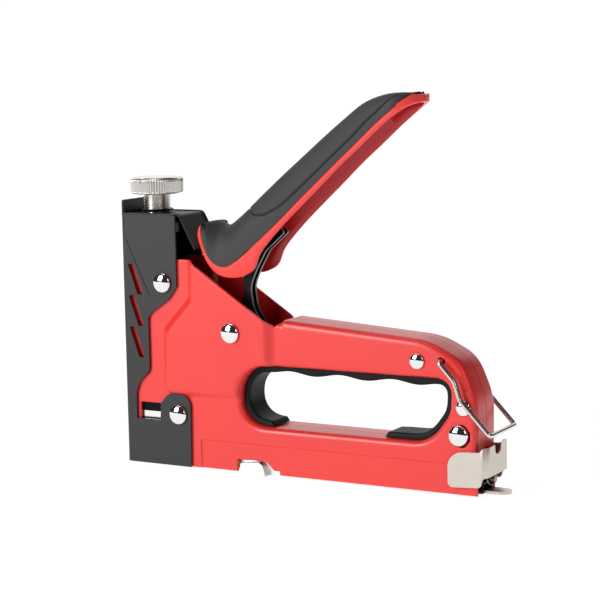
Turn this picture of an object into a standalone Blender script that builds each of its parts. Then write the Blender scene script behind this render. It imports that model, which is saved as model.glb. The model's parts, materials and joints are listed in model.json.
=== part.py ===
"""Hand staple gun: a squeeze handle lifts a spring-driven plunger, and a magazine slides out at the back.

X runs from the nose to the back, Y across, +Z up.  Sizes are in millimetres, and MM turns them into
metres.  The part's own X is counted from the front cover's face, and Z from the bottom edge of the shells.
"""
import math

import bmesh
import bpy
from mathutils import Matrix, Vector

MM = 0.001

# ---- driving dimensions ------------------------------------------------------------------------
BODY_LENGTH = 157.4      # front face to the shells' rear face
MAGAZINE_WIDTH = 12.8    # outside of the staple channel; the gun is built up sideways from it
COVER_HEIGHT = 103.5     # shells' bottom edge to the top of the front cover's sides
SHELL_SHEET = 1.1
PANEL_RISE = 2.3         # how far the pressed panel stands out of a shell
COVER_SHEET = 0.8
SLOT_Z = 44.0            # foot of the lowest of three slots in the cover
CLEARANCE = 0.3          # between pieces that touch
SLIDE_SLACK = 0.5        # beside the magazine and the plunger, inside their guides
SHELL_SLACK = 0.4        # between the guides and the shells
SEAM = 0.3               # between the two shells on the middle plane

PIVOT_X = 52.2           # handle pivot
PIVOT_Z = 56.6
PIVOT_SHANK = 3.0
RIVET_SHANK = 2.0
RIVET_HEAD = 4.2
RIVET_DOME = 2.0
SMALL_HEAD = 3.1
SMALL_DOME = 1.3

KNOB_RADIUS = 10.9
KNOB_HEIGHT = 7.0
SCREW_RADIUS = 5.7
SCREW_SHOWN = 7.4        # thread between the bracket and the knob
COLLAR_WALL = 1.0
COLLAR_HEIGHT = 0.8
SPRING_WIRE = 0.9
SPRING_TURNS = 9
BRACKET_SHEET = 1.1
GUIDE_SHEET = 1.0
PLUNGER_DEPTH = 15.1     # front to back
PLUNGER_HEIGHT = 17.0
PLUNGER_Z = 35.5
BUMPER_HEIGHT = 7.2
LUG_HEIGHT = 4.0
LUG_SLACK = 0.6          # between the lifting pin and the lug over it
BLADE_SHEET = 1.0
SEAT_HEIGHT = 4.0
SEAT_DROP = 3.6          # bracket's underside to the spring seat
NOSE_TOP = 21.4          # where the nickel nose guide meets the black plunger guide

HANDLE_OVERHANG = 1.1    # each side of the handle beyond the shells
HANDLE_SHEET = 1.2
BAND_STEP = 0.9          # how far the handle's rim stands out of its upper part
GRIP_STEP = 0.4          # how far the grip stands out of the rim
PLATE_SHEET = 1.2
PLATE_PITCH = 3.6        # between the middles of the two lever plates
TIP_DROP_DEG = 22.5      # lifting pin below the level of the pivot at rest
TIP_PIN_RADIUS = 2.5
TIP_PIN_END = 1.5
TIP_ROOM = 7.1           # lifting pin's axis behind the plunger
SPACER_RADIUS = 5.2
GROOVE_RISE = 3.2        # line where red meets black to the groove round the insert
SLOPE_DEG = 41.1         # of the handle's straight stretch
SCREW_HEAD = 3.2         # the two grip screws
SCREW_SHANK = 1.4

HOLE_FRONT = 54.6        # hand hole
HOLE_BOTTOM = 18.9
HOLE_TOP = 43.9
HOLE_TO_REAR = 11.2      # from the hand hole's end to the rear face
LINER_SHEET = 1.5
WAVE_PITCH = 24.0
WAVE_DEPTH = 1.6

MAGAZINE_TOP = 11.4
MAGAZINE_BOTTOM = -1.0
MAGAZINE_SHEET = 1.0
RAIL_HEIGHT = 7.0
RAIL_SHEET = 0.9
ROD_RADIUS = 1.4
ROD_Z = 5.3
FOLLOWER_LENGTH = 14.0
FOLLOWER_TURNS = 14
FOLLOWER_WIRE = 0.4
LATCH_SHEET = 0.8
LATCH_TOP = 17.3
LATCH_BOTTOM = 3.0
LATCH_WRAP = 11.4        # how far the latch's sides reach forward of the rear face
LATCH_BACK = 4.9         # outside of the latch behind the rear face
TONGUE_REACH = 10.1      # pull tongue behind the rear face
TONGUE_HALF = 3.6

WIRE_RADIUS = 0.95
BAIL_TO_REAR = 14.2      # bail pivot in front of the rear face
BAIL_Z = 50.9

# ---- sizes worked out from them ----------------------------------------------------------------
GUIDE_INNER = max(MAGAZINE_WIDTH / 2, SCREW_RADIUS) + SLIDE_SLACK
GUIDE_HALF = GUIDE_INNER + GUIDE_SHEET
INSIDE_HALF = GUIDE_HALF + SHELL_SLACK
HALF = INSIDE_HALF + SHELL_SHEET
COVER_HALF = HALF + CLEARANCE + COVER_SHEET
PANEL_HALF = HALF + PANEL_RISE
HANDLE_HALF = HALF + HANDLE_OVERHANG
CORE_HALF = HANDLE_HALF - BAND_STEP
GRIP_HALF = HANDLE_HALF + GRIP_STEP
BAIL_HALF = GRIP_HALF + CLEARANCE + WIRE_RADIUS
LATCH_HALF = HALF + CLEARANCE + LATCH_SHEET
LINER_HALF = INSIDE_HALF - 1.8
PLATE_INNER = (PLATE_PITCH - PLATE_SHEET) / 2
PLATE_OUTER = (PLATE_PITCH + PLATE_SHEET) / 2
SLIDER_HALF = GUIDE_INNER - CLEARANCE
SPRING_RADIUS = GUIDE_INNER - 3 * CLEARANCE

GUIDE_FRONT = COVER_SHEET + CLEARANCE
BLADE_X = GUIDE_FRONT + GUIDE_SHEET + CLEARANCE
PLUNGER_X = BLADE_X + BLADE_SHEET + CLEARANCE
PLUNGER_REAR = PLUNGER_X + PLUNGER_DEPTH
MAGAZINE_X = PLUNGER_X
SPRING_AXIS_X = PLUNGER_REAR - 7.1
GUIDE_REAR = PLUNGER_REAR + 1.2
TIP_X = PLUNGER_REAR + TIP_ROOM
TIP_Z = PIVOT_Z - (PIVOT_X - TIP_X) * math.tan(math.radians(TIP_DROP_DEG))
LUG_Z = TIP_Z + TIP_PIN_RADIUS + LUG_SLACK
PLUNGER_TOP = PLUNGER_Z + PLUNGER_HEIGHT
SEAT_TOP = COVER_HEIGHT - BRACKET_SHEET - SEAT_DROP
SEAT_BOTTOM = SEAT_TOP - SEAT_HEIGHT
KNOB_Z = COVER_HEIGHT + SCREW_SHOWN
HOLE_REAR = BODY_LENGTH - HOLE_TO_REAR
BAIL_X = BODY_LENGTH - BAIL_TO_REAR
LATCH_X = BODY_LENGTH + LATCH_BACK
TONGUE_X = BODY_LENGTH + TONGUE_REACH
FRONT_END = min(0.0, SPRING_AXIS_X - KNOB_RADIUS)
ORIGIN = Vector((-(FRONT_END + TONGUE_X) / 2, 0.0, -MAGAZINE_BOTTOM)) * MM

RIVETS = {
    "pivot_rivet": (PIVOT_X, PIVOT_Z, PANEL_HALF, PIVOT_SHANK, RIVET_HEAD, RIVET_DOME),
    "lower_cover_rivet": (26.0, 21.4, COVER_HALF, RIVET_SHANK, RIVET_HEAD, RIVET_DOME),
    "rear_upper_rivet": (BODY_LENGTH - 24.2, 50.2, HALF, RIVET_SHANK, SMALL_HEAD, SMALL_DOME),
    "rear_middle_rivet": (BODY_LENGTH - 5.1, 33.6, HALF, RIVET_SHANK, SMALL_HEAD, SMALL_DOME),
    "rear_lower_rivet": (BODY_LENGTH - 7.2, 22.9, HALF, RIVET_SHANK, RIVET_HEAD, RIVET_DOME),
}
COVER_RIVET = (19.9, COVER_HEIGHT - 28.2)


# ---- shape helpers -----------------------------------------------------------------------------
def start_clean():
    """Empty the scene and make the frame that every piece hangs from."""
    for thing in list(bpy.data.objects):
        bpy.data.objects.remove(thing)
    frame = bpy.data.objects.new("part_frame", None)
    frame.location = ORIGIN
    bpy.context.collection.objects.link(frame)
    return frame


def finish(name, colour, roughness, metallic):
    """A plain material in one colour."""
    material = bpy.data.materials.new(name)
    material.use_nodes = True
    shader = material.node_tree.nodes["Principled BSDF"]
    shader.inputs["Base Color"].default_value = (*colour, 1.0)
    shader.inputs["Roughness"].default_value = roughness
    shader.inputs["Metallic"].default_value = metallic
    return material


def corner_arc(before, point, after, radius):
    """Points that turn one corner of an outline with an arc of the given radius."""
    first = (before - point)
    second = (after - point)
    room = 0.49 * min(first.length, second.length)
    first.normalize()
    second.normalize()
    half_angle = first.angle(second) / 2
    reach = min(radius / math.tan(half_angle), room)
    true_radius = reach * math.tan(half_angle)
    centre = point + (first + second).normalized() * (true_radius / math.sin(half_angle))
    turn = math.pi - 2 * half_angle
    steps = max(1, math.ceil(math.degrees(turn) / 24))
    start = point + first * reach - centre
    side = 1 if first.x * second.y - first.y * second.x < 0 else -1
    return [centre + Matrix.Rotation(side * turn * i / steps, 2) @ start for i in range(steps + 1)]


def outline(corners):
    """Closed outline through (x, z) or (x, z, radius) corners, rounding those with a radius."""
    flat = [Vector(corner[:2]) for corner in corners]
    points = []
    for i, corner in enumerate(corners):
        if len(corner) == 3 and corner[2] > 0:
            points += corner_arc(flat[i - 1], flat[i], flat[(i + 1) % len(flat)], corner[2])
        else:
            points.append(flat[i])
    return points


def inset(points, distance):
    """The same outline moved inwards by a distance, or outwards by a negative one."""
    area = sum(a.x * b.y - b.x * a.y for a, b in zip(points, points[1:] + points[:1]))
    sign = 1 if area > 0 else -1
    moved = []
    for i, point in enumerate(points):
        before = (point - points[i - 1]).normalized()
        after = (points[(i + 1) % len(points)] - point).normalized()
        normal = (before.orthogonal() + after.orthogonal())
        normal = normal.normalized() if normal.length > 1e-6 else before.orthogonal()
        lean = max(0.4, normal.dot(before.orthogonal()))
        moved.append(point + normal * (sign * distance / lean))
    return moved


def circle(x, z, radius, sides=16):
    """A ring of points on a circle."""
    angles = [2 * math.pi * (i + 0.5) / sides for i in range(sides)]
    return [Vector((x + radius * math.cos(a), z + radius * math.sin(a))) for a in angles]


def add_loft(bm, levels, place):
    """Join equal rings of points, given as (points, height), by walls, with open ends."""
    rings = [[bm.verts.new(place(p, height)) for p in points] for points, height in levels]
    count = len(rings[0])
    for lower, upper in zip(rings, rings[1:]):
        for i in range(count):
            j = (i + 1) % count
            bm.faces.new((lower[i], lower[j], upper[j], upper[i]))
    return rings


def close_end(bm, loops):
    """Fill the flat face between an outer loop and the holes in it."""
    edges = []
    for loop in loops:
        for i, vert in enumerate(loop):
            edges.append(bm.edges.get((vert, loop[(i + 1) % len(loop)])))
    bmesh.ops.triangle_fill(bm, edges=edges, use_beauty=True, use_dissolve=False)


def solid_mesh(name, outer, holes, place):
    """Closed solid from an outer stack of rings and stacks for the holes through it."""
    bm = bmesh.new()
    stacks = [add_loft(bm, levels, place) for levels in [outer] + holes]
    close_end(bm, [stack[0] for stack in stacks])
    close_end(bm, [stack[-1] for stack in stacks])
    bmesh.ops.recalc_face_normals(bm, faces=bm.faces)
    for face in bm.faces:
        face.smooth = False
    mesh = bpy.data.meshes.new(name)
    bm.to_mesh(mesh)
    bm.free()
    return mesh


def along_y(point, height):
    return Vector((point.x, height, point.y)) * MM


def along_z(point, height):
    return Vector((point.x, point.y, height)) * MM


def along_x(point, height):
    return Vector((height, point.x, point.y)) * MM


def shift(mesh, pivot):
    """Move a mesh so that the pivot becomes its object's origin."""
    mesh.transform(Matrix.Translation(-Vector(pivot) * MM))


def place_object(name, data, material=None, pivot=(0, 0, 0)):
    """Link an object under the part's frame, with its origin at the pivot."""
    thing = bpy.data.objects.new(name, data)
    thing.location = Vector(pivot) * MM
    thing.parent = FRAME
    bpy.context.collection.objects.link(thing)
    if material:
        data.materials.append(material)
    if isinstance(data, bpy.types.Mesh):
        shift(data, pivot)
    return thing


def prism(name, points, low, high, material=None, pivot=(0, 0, 0), holes=(), place=along_y):
    """A flat outline carried from one level to another, with holes straight through."""
    stacks = [[(hole, low), (hole, high)] for hole in holes]
    mesh = solid_mesh(name, [(points, low), (points, high)], stacks, place)
    return place_object(name, mesh, material, pivot)


def turned(name, profile, centre, place, material, pivot=(0, 0, 0), sides=24, bore=0.0):
    """A body of revolution from (radius, height) pairs, with a straight bore if one is given."""
    levels = [(circle(*centre, radius, sides), height) for radius, height in profile]
    holes = []
    if bore:
        holes = [[(circle(*centre, bore, sides), height) for height in (profile[0][1], profile[-1][1])]]
    thing = place_object(name, solid_mesh(name, levels, holes, place), material, pivot)
    smooth(thing)
    return thing


def smooth(thing):
    thing.data.shade_smooth()
    thing.data.set_sharp_from_angle(angle=math.radians(35))


def change(thing, tool, operation="DIFFERENCE"):
    """Cut a tool out of a thing, or join it on, and hide the tool."""
    modifier = thing.modifiers.new(tool.name, "BOOLEAN")
    modifier.operation = operation
    modifier.object = tool
    tool.hide_render = True
    tool.display_type = "WIRE"
    return thing


def box(name, low, high, material=None, pivot=(0, 0, 0)):
    """A block between two corners."""
    ring = [Vector((low[0], low[2])), Vector((high[0], low[2])),
            Vector((high[0], high[2])), Vector((low[0], high[2]))]
    return prism(name, ring, low[1], high[1], material, pivot)


def wire(name, points, radius, material, pivot=(0, 0, 0), sides=2):
    """A round wire with flat ends through a list of points."""
    curve = bpy.data.curves.new(name, "CURVE")
    curve.dimensions = "3D"
    curve.bevel_depth = radius * MM
    curve.bevel_resolution = sides
    curve.use_fill_caps = True
    spline = curve.splines.new("POLY")
    spline.points.add(len(points) - 1)
    for node, point in zip(spline.points, points):
        node.co = (*((Vector(point) - Vector(pivot)) * MM), 1.0)
    return place_object(name, curve, material, pivot)


# ---- root: shells, cover, guides ---------------------------------------------------------------
def hand_hole():
    """Outline of the hand hole: flat top and bottom, slanted and rounded ends."""
    return outline([
        (HOLE_FRONT, HOLE_BOTTOM, 10), (HOLE_FRONT + 0.6, HOLE_TOP - 9.6, 7), (HOLE_FRONT + 8.4, HOLE_TOP, 9),
        (HOLE_REAR + 0.8, HOLE_TOP, 9), (HOLE_REAR + 0.2, HOLE_TOP - 13, 10),
        (HOLE_REAR - 8.6, HOLE_BOTTOM, 14),
    ])


def shell_outline():
    """Side view of a shell, with the notch for the magazine channel's ear in its bottom edge."""
    rear = BODY_LENGTH
    front = GUIDE_FRONT + 0.5
    top = COVER_HEIGHT - 18.5
    return outline([
        (front, 0), (52.5, 0), (52.5, 4.9), (66.0, 4.9, 3), (69.4, 1.6), (72.0, 1.6), (72.0, 0), (rear, 0),
        (rear, 17.5), (rear + 0.2, 36, 28), (rear - 6.2, 51.2, 14),
        (rear - 20.5, 58.3, 30), (74.7, 62.5), (71.0, 59.8), (32.3, top, 1.5), (front, top),
    ])


def cavity_outline():
    """Inside of a shell: walls along the beam's top and the rear, open everywhere else."""
    rear = BODY_LENGTH - SHELL_SHEET
    roof = SHELL_SHEET
    return outline([
        (-5, -5), (rear + 9, -5), (rear + 9, 17.5), (rear, 17.5), (rear + 0.2, 35.4, 27),
        (rear - 5.9, 50.6, 13), (rear - 20.0, 58.3 - roof, 29), (75.2, 62.5 - roof), (70.4, 61.0),
        (70, COVER_HEIGHT + 20),
        (-5, COVER_HEIGHT + 20),
    ])


def panel_outline():
    """The pressed panel's foot.  It runs out over the sloping edge and the hand hole."""
    top = COVER_HEIGHT - 3.5
    return outline([
        (18.2, 29.2, 5), (64, 29.2), (70.8, 40), (70.8, 70), (60, top), (31.4, top), (31.4, top - 30, 2),
        (19.0, top - 43.4, 5),
    ])


def skin_cutter(name, side, level):
    """Everything outside a pressed side wall whose flat face is at the given level."""
    slab = box(name, (-20, side * level, -20), (BODY_LENGTH + 40, side * (level + 20), COVER_HEIGHT + 40))
    foot = panel_outline()
    crown = inset(foot, 3.4)
    rings = [(inset(foot, -0.4), side * (level - 0.3)), (crown, side * (level + PANEL_RISE))]
    panel = place_object(name + "_panel", solid_mesh(name + "_panel", rings, [], along_y))
    change(slab, panel)
    return slab


def make_shell(name, side):
    """One stamped half of the body: side wall, turned-in edges, hand hole rim and pressed panel."""
    inner_edge = side * SEAM / 2
    holes = [hand_hole(), outline([(7, 18.7), (17.6, 18.7), (17.6, 25.2), (7, 25.2)])]
    for x, z, _, shank, _, _ in RIVETS.values():
        holes.append(circle(x, z, shank + CLEARANCE, 12))
    holes.append(circle(*COVER_RIVET, RIVET_SHANK + CLEARANCE, 12))
    holes.append(circle(BAIL_X, BAIL_Z, WIRE_RADIUS + CLEARANCE, 10))
    shell = prism(name, shell_outline(), side * (PANEL_HALF + 1), inner_edge, RED_PAINT, holes=holes)
    change(shell, skin_cutter(name + "_skin", side, HALF))
    rim = inset(hand_hole(), -SHELL_SHEET)
    cavity = prism(name + "_cavity", cavity_outline(), side * (PANEL_HALF + 2), -side * 2, holes=[rim])
    change(cavity, skin_cutter(name + "_lining", side, INSIDE_HALF))
    change(shell, cavity)
    return shell


def make_front_cover():
    """Black folded cover round the front: front wall and two sides with slots and a window."""
    top = COVER_HEIGHT
    sides = outline([
        (0, 0), (31.5, 0), (31.7, 21.0, 8), (24.5, 29.5, 7), (17.5, 25.6), (17.2, 18.5), (5.7, 18.5),
        (5.7, 29.3), (7.4, 33.5), (12.5, 38.9), (12.5, top - 43.0), (14, top - 40.9), (22.5, top - 34.9),
        (26.5, top - 29.5),
        (26.5, top - 0.3), (COVER_SHEET, top - 0.3), (COVER_SHEET, top + 5), (0, top + 5),
    ])
    pitch = (top - 20.5 - SLOT_Z) / 3
    slots = []
    for i in range(3):
        low = SLOT_Z + i * pitch
        high = low + pitch - 0.4
        slots.append(outline([(8.2, low), (10.2, low), (5.4, high), (3.4, high)]))
    holes = slots + [circle(*RIVETS["lower_cover_rivet"][:2], RIVET_SHANK + CLEARANCE, 12)]
    holes.append(circle(*COVER_RIVET, RIVET_SHANK + CLEARANCE, 12))
    cover = prism("front_cover", sides, -COVER_HALF, COVER_HALF, BLACK_PAINT, holes=holes)
    room = COVER_HALF - COVER_SHEET
    hollow = box("cover_hollow", (COVER_SHEET, -room, -5), (60, room, COVER_HEIGHT + 20))
    return change(cover, hollow)


def make_top_bracket():
    """Black strip over the top, bent down behind the spring, with a hole for the screw."""
    sheet = BRACKET_SHEET
    top = COVER_HEIGHT
    points = outline([
        (COVER_SHEET + CLEARANCE, top - sheet), (27.4, top - sheet), (34.6, top - 14.6), (35.8, top - 14.0),
        (28.2, top), (COVER_SHEET + CLEARANCE, top),
    ])
    half = CORE_HALF - CLEARANCE
    bracket = prism("top_bracket", points, -half, half, BLACK_PAINT)
    hole = circle(SPRING_AXIS_X, 0, SCREW_RADIUS + CLEARANCE, 24)
    return change(bracket, prism("bracket_hole", hole, top - 5, top + 5, place=along_z))


def guide(name, low, high, material):
    """A channel folded round the plunger, open at the back."""
    wall = GUIDE_FRONT + GUIDE_SHEET
    ring = outline([
        (GUIDE_FRONT, -GUIDE_HALF, 1), (GUIDE_REAR, -GUIDE_HALF), (GUIDE_REAR, -GUIDE_INNER),
        (wall, -GUIDE_INNER), (wall, GUIDE_INNER), (GUIDE_REAR, GUIDE_INNER), (GUIDE_REAR, GUIDE_HALF),
        (GUIDE_FRONT, GUIDE_HALF, 1),
    ])
    return prism(name, ring, low, high, material, place=along_z)


def make_guides():
    guide("nose_guide", 0.2, NOSE_TOP, NICKEL)
    guide("plunger_guide", NOSE_TOP + CLEARANCE, COVER_HEIGHT - BRACKET_SHEET - CLEARANCE, BLACK_STEEL)
    top = PLUNGER_Z - CLEARANCE
    box("stop_bumper", (PLUNGER_X, -SLIDER_HALF, top - BUMPER_HEIGHT), (PLUNGER_REAR - 0.5, SLIDER_HALF, top),
        BLACK_RUBBER)
    bore = SCREW_RADIUS + CLEARANCE
    foot = COVER_HEIGHT + CLEARANCE
    edge = 0.6
    ring = [(bore + COLLAR_WALL, foot), (bore + COLLAR_WALL, foot + COLLAR_HEIGHT - edge),
            (bore + COLLAR_WALL - edge, foot + COLLAR_HEIGHT)]
    turned("screw_collar", ring, (SPRING_AXIS_X, 0), along_z, NICKEL, bore=bore)


def dome(head, base, height, steps=3):
    """(radius, level) pairs of a rivet's domed head, from its seat to a small flat on top."""
    pairs = []
    for i in range(steps + 1):
        angle = math.radians(82) * i / steps
        pairs.append((head * math.cos(angle), base + height * math.sin(angle)))
    return pairs


def make_rivet(name, x, z, seat, shank, head, height):
    """A rivet right across the body, with a domed head on each side."""
    upper = dome(head, seat + CLEARANCE, height)
    lower = [(radius, -level) for radius, level in reversed(upper)]
    stem = seat + CLEARANCE
    profile = lower + [(shank, -stem + 0.01), (shank, stem - 0.01)] + upper
    turned(name, profile, (x, z), along_y, CHROME, sides=16)


def make_rivets():
    for name, sizes in RIVETS.items():
        make_rivet(name, *sizes)
    for name, side in (("upper_cover_rivet_left", -1), ("upper_cover_rivet_right", 1)):
        profile = [(RIVET_SHANK, GUIDE_HALF + 0.2), (RIVET_SHANK, COVER_HALF + CLEARANCE - 0.01)]
        profile += dome(RIVET_HEAD, COVER_HALF + CLEARANCE, RIVET_DOME)
        profile = [(radius, side * level) for radius, level in profile]
        turned(name, profile, COVER_RIVET, along_y, CHROME, sides=16)


def make_grip_liner():
    """Black plastic strip lining the hand hole, waved for the fingers and open along the bottom."""
    outer = inset(hand_hole(), CLEARANCE)
    inner = inset(hand_hole(), CLEARANCE + LINER_SHEET)
    liner = prism("grip_liner", outer, -LINER_HALF, LINER_HALF, BLACK_PLASTIC, holes=[inner])
    ceiling = HOLE_TOP - CLEARANCE - LINER_SHEET
    first = HOLE_FRONT + 21
    waves = [Vector((first - 4, ceiling + 0.5))]
    count = 3 * 6
    for i in range(count + 1):
        sag = WAVE_DEPTH * (1 - math.cos(2 * math.pi * i / 6)) / 2
        waves.append(Vector((first + i * WAVE_PITCH / 6, ceiling - 0.2 - sag)))
    waves.append(Vector((first + 3 * WAVE_PITCH + 1, ceiling + 0.5)))
    bulges = prism("liner_waves", waves, -LINER_HALF + 0.01, LINER_HALF - 0.01)
    bound = prism("liner_bound", inset(hand_hole(), CLEARANCE + 0.1), -2 * LINER_HALF, 2 * LINER_HALF)
    change(bulges, bound, "INTERSECT")
    change(liner, bulges, "UNION")
    gap = box("liner_gap", (HOLE_FRONT + 14, -20, HOLE_BOTTOM - 2), (HOLE_REAR - 28, 20, HOLE_BOTTOM + 6))
    return change(liner, gap)


def make_magazine_channel():
    """Fixed square channel for the magazine, with an ear on each side that shows below the shells."""
    half = MAGAZINE_WIDTH / 2
    inner = half - MAGAZINE_SHEET
    ring = outline([(-half, MAGAZINE_BOTTOM), (half, MAGAZINE_BOTTOM), (half, MAGAZINE_TOP),
                    (-half, MAGAZINE_TOP)])
    hole = outline([
        (-inner, MAGAZINE_BOTTOM + MAGAZINE_SHEET), (inner, MAGAZINE_BOTTOM + MAGAZINE_SHEET),
        (inner, MAGAZINE_TOP - MAGAZINE_SHEET), (-inner, MAGAZINE_TOP - MAGAZINE_SHEET),
    ])
    channel = prism("magazine_channel", ring, MAGAZINE_X, BODY_LENGTH - 2, ZINC, holes=[hole], place=along_x)
    ear = outline([(53.2, MAGAZINE_BOTTOM), (65.6, MAGAZINE_BOTTOM), (64.4, 3.4, 1.5), (62.6, 4.5),
                   (54.4, 3.6)])
    for name, side in (("left_ear", -1), ("right_ear", 1)):
        change(channel, prism(name, ear, side * (half - 0.5), side * HALF), "UNION")
    return channel


# ---- handle ------------------------------------------------------------------------------------
def handle_lower_edge():
    """Corners of the handle's underside, from the nose round the bulge and up to the tip."""
    return [(35.7, 96.2, 3), (38.3, 88.9, 12), (42.6, 80.2, 7), (51.5, 78.0, 20), (62.2, 80.2, 6),
            (66.4, 90.3, 12), (101.5, 123.7), (126.0, 144.1, 8), (134.0, 148.0, 0.5)]


def core_top_edge():
    """Corners of the top of the red shell where the grip covers it, from the tip back to the nose."""
    return [(131.0, 149.4, 1), (117.0, 146.6, 15), (52.5, 92.0, 8), (45.5, 95.0, 6), (39.5, 97.6, 2)]


def grip_front():
    """Corners of the line on the handle's side where red meets black, from the tip to the nose."""
    return [(131.6, 149.6, 1), (118.8, 141.2, 12), (56.3, 86.8, 8), (50.5, 82.0, 5), (44.0, 83.0, 6),
            (37.9, 94.5, 4), (38.9, 99.6)]


def silhouette():
    """Corners of the handle's top, from the nose over the hump to the tip."""
    return [(40.0, 101.2, 3), (46.5, 97.6, 6), (52.6, 102.3), (110.2, 149.4, 12), (122.5, 152.0, 12)]


def make_handle():
    pivot = (PIVOT_X, 0, PIVOT_Z)
    core = outline(handle_lower_edge() + core_top_edge())
    shell = prism("handle_shell", core, -CORE_HALF, CORE_HALF, RED_PAINT, pivot)
    band = outline(handle_lower_edge() + grip_front()[:-1] + [(37.9, 99.0)])
    change(shell, prism("handle_band", band, -HANDLE_HALF, HANDLE_HALF, pivot=pivot), "UNION")
    inner = CORE_HALF - HANDLE_SHEET
    roof = [(130.6, 149.2)] + core_top_edge()[1:-1]
    hollow = inset(outline(roof + [(41.0, 95.9), (30, 90), (45, 60), (134, 140)]), HANDLE_SHEET)
    change(shell, prism("handle_hollow", hollow, -inner, inner, pivot=pivot))
    bore = SCREW_SHANK + CLEARANCE
    for i, (x, z) in enumerate(screw_places()):
        change(shell, slanted("screw_hole_%d" % i, x, z, [(bore, -2), (bore, 9)]))
    return shell


def screw_places():
    """Where the two grip screws' heads sit under the roof of the handle's hollow."""
    return [(66.6, 101.5), (104.0, 133.1)]


def slanted(name, x, z, profile, material=None):
    """A turned body square to the handle's straight stretch, with its own height counted outwards."""
    lean = math.radians(SLOPE_DEG)

    def place(point, height):
        out = Vector((-math.sin(lean), 0, math.cos(lean)))
        along = Vector((math.cos(lean), 0, math.sin(lean)))
        return (Vector((x, 0, z)) + along * point.x + Vector((0, point.y, 0)) + out * height) * MM

    levels = [(circle(0, 0, radius, 12), height) for radius, height in profile]
    mesh = solid_mesh(name, levels, [], place)
    return place_object(name, mesh, material, (PIVOT_X, 0, PIVOT_Z))


def groove_line(rise):
    """Corners of the groove round the insert, from the tip to the front of the grip."""
    lean = math.radians(SLOPE_DEG)
    lift = Vector((-math.sin(lean), math.cos(lean))) * rise
    upper = Vector((118.8, 141.2)) + lift
    lower = Vector((70.5, 99.2)) + lift
    return [(128.0, 150.6), (*upper, 12), (*lower, 5), (60.5, 104.5, 5), (56.0, 105.8)]


def make_grip():
    """Soft black cover on the handle and the textured insert in its top."""
    pivot = (PIVOT_X, 0, PIVOT_Z)
    whole = outline(grip_front() + silhouette())
    room = CORE_HALF + CLEARANCE
    core = inset(outline(handle_lower_edge()[:-1] + [(136, 149.0)] + core_top_edge()), -CLEARANCE)
    above = outline([(150, 152.5), (60, 180), (40, 120)] + list(reversed(groove_line(GROOVE_RISE))))
    below = inset(above, -CLEARANCE)
    wide = 2 * GRIP_HALF
    grip = prism("handle_grip", whole, -GRIP_HALF, GRIP_HALF, SOFT_BLACK, pivot)
    change(grip, prism("grip_core", core, -room, room, pivot=pivot))
    change(grip, prism("insert_room", below, -wide, wide, pivot=pivot))
    insert = prism("grip_insert", whole, -GRIP_HALF, GRIP_HALF, TEXTURED_BLACK, pivot)
    change(insert, prism("insert_core", core, -room, room, pivot=pivot))
    change(insert, prism("insert_region", above, -wide, wide, pivot=pivot), "INTERSECT")
    head = -HANDLE_SHEET - CLEARANCE + 1.2
    profile = [(SCREW_HEAD, head - 1.9), (SCREW_HEAD, head), (SCREW_SHANK, head + 0.01), (SCREW_SHANK, 1.0)]
    for end, (x, z) in zip(("front", "rear"), screw_places()):
        slanted("grip_screw_" + end, x, z, profile, CHROME)


def lever_outline():
    """A lever plate: lifting arm forward, round eye on the pivot, arm up into the handle."""
    return outline([
        (TIP_X - 3.3, TIP_Z + 1.4, 2.5), (TIP_X - 2.2, TIP_Z - 3.8, 3), (PIVOT_X - 8, PIVOT_Z - 12.5, 8),
        (PIVOT_X + 9.0, PIVOT_Z - 11.5, 9), (PIVOT_X + 9.6, PIVOT_Z + 2.5, 6), (57.6, 66.0, 6),
        (56.4, 74.6, 8), (59.5, 81.5, 8), (63.9, 89.2, 5), (72.5, 96.6, 1), (71.0, 98.4, 1), (61.5, 91.0, 5),
        (55.0, 83.0, 6), (53.3, 77.5, 6), (53.3, 68.1, 4), (PIVOT_X - 8, PIVOT_Z + 8.5, 8),
        (TIP_X + 3, TIP_Z + 3.6, 2),
    ])


def make_lever():
    pivot = (PIVOT_X, 0, PIVOT_Z)
    bore = circle(PIVOT_X, PIVOT_Z, PIVOT_SHANK + CLEARANCE)
    pin_hole = circle(TIP_X, TIP_Z, TIP_PIN_END + CLEARANCE, 10)
    for name, side in (("lever_plate_left", -1), ("lever_plate_right", 1)):
        prism(name, lever_outline(), side * PLATE_OUTER, side * PLATE_INNER, BLACK_STEEL, pivot,
              holes=[bore, pin_hole])
    inner = PLATE_INNER - CLEARANCE
    outer = PLATE_OUTER + 0.1
    turned("lever_spacer", [(SPACER_RADIUS, -inner), (SPACER_RADIUS, inner)], (PIVOT_X, PIVOT_Z),
           along_y, STEEL, pivot, 16, PIVOT_SHANK + CLEARANCE)
    profile = [(TIP_PIN_END, -outer), (TIP_PIN_END, -inner - 0.01), (TIP_PIN_RADIUS, -inner),
               (TIP_PIN_RADIUS, inner), (TIP_PIN_END, inner + 0.01), (TIP_PIN_END, outer)]
    turned("lifting_pin", profile, (TIP_X, TIP_Z), along_y, STEEL, pivot, 12)


# ---- plunger, spring and screw -----------------------------------------------------------------
def coil(name, start, axis, length, turns, radius, thickness, steps, material):
    """A helical spring along an axis, its ends drawn in level."""
    along = Vector(axis)
    across = along.orthogonal().normalized()
    other = along.cross(across)
    points = []
    count = turns * steps
    for i in range(count + 1):
        angle = 2 * math.pi * i / steps
        ring = (across * math.cos(angle) + other * math.sin(angle)) * radius
        points.append(Vector(start) + along * (length * i / count) + ring)
    return wire(name, points, thickness, material, sides=0)


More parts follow.
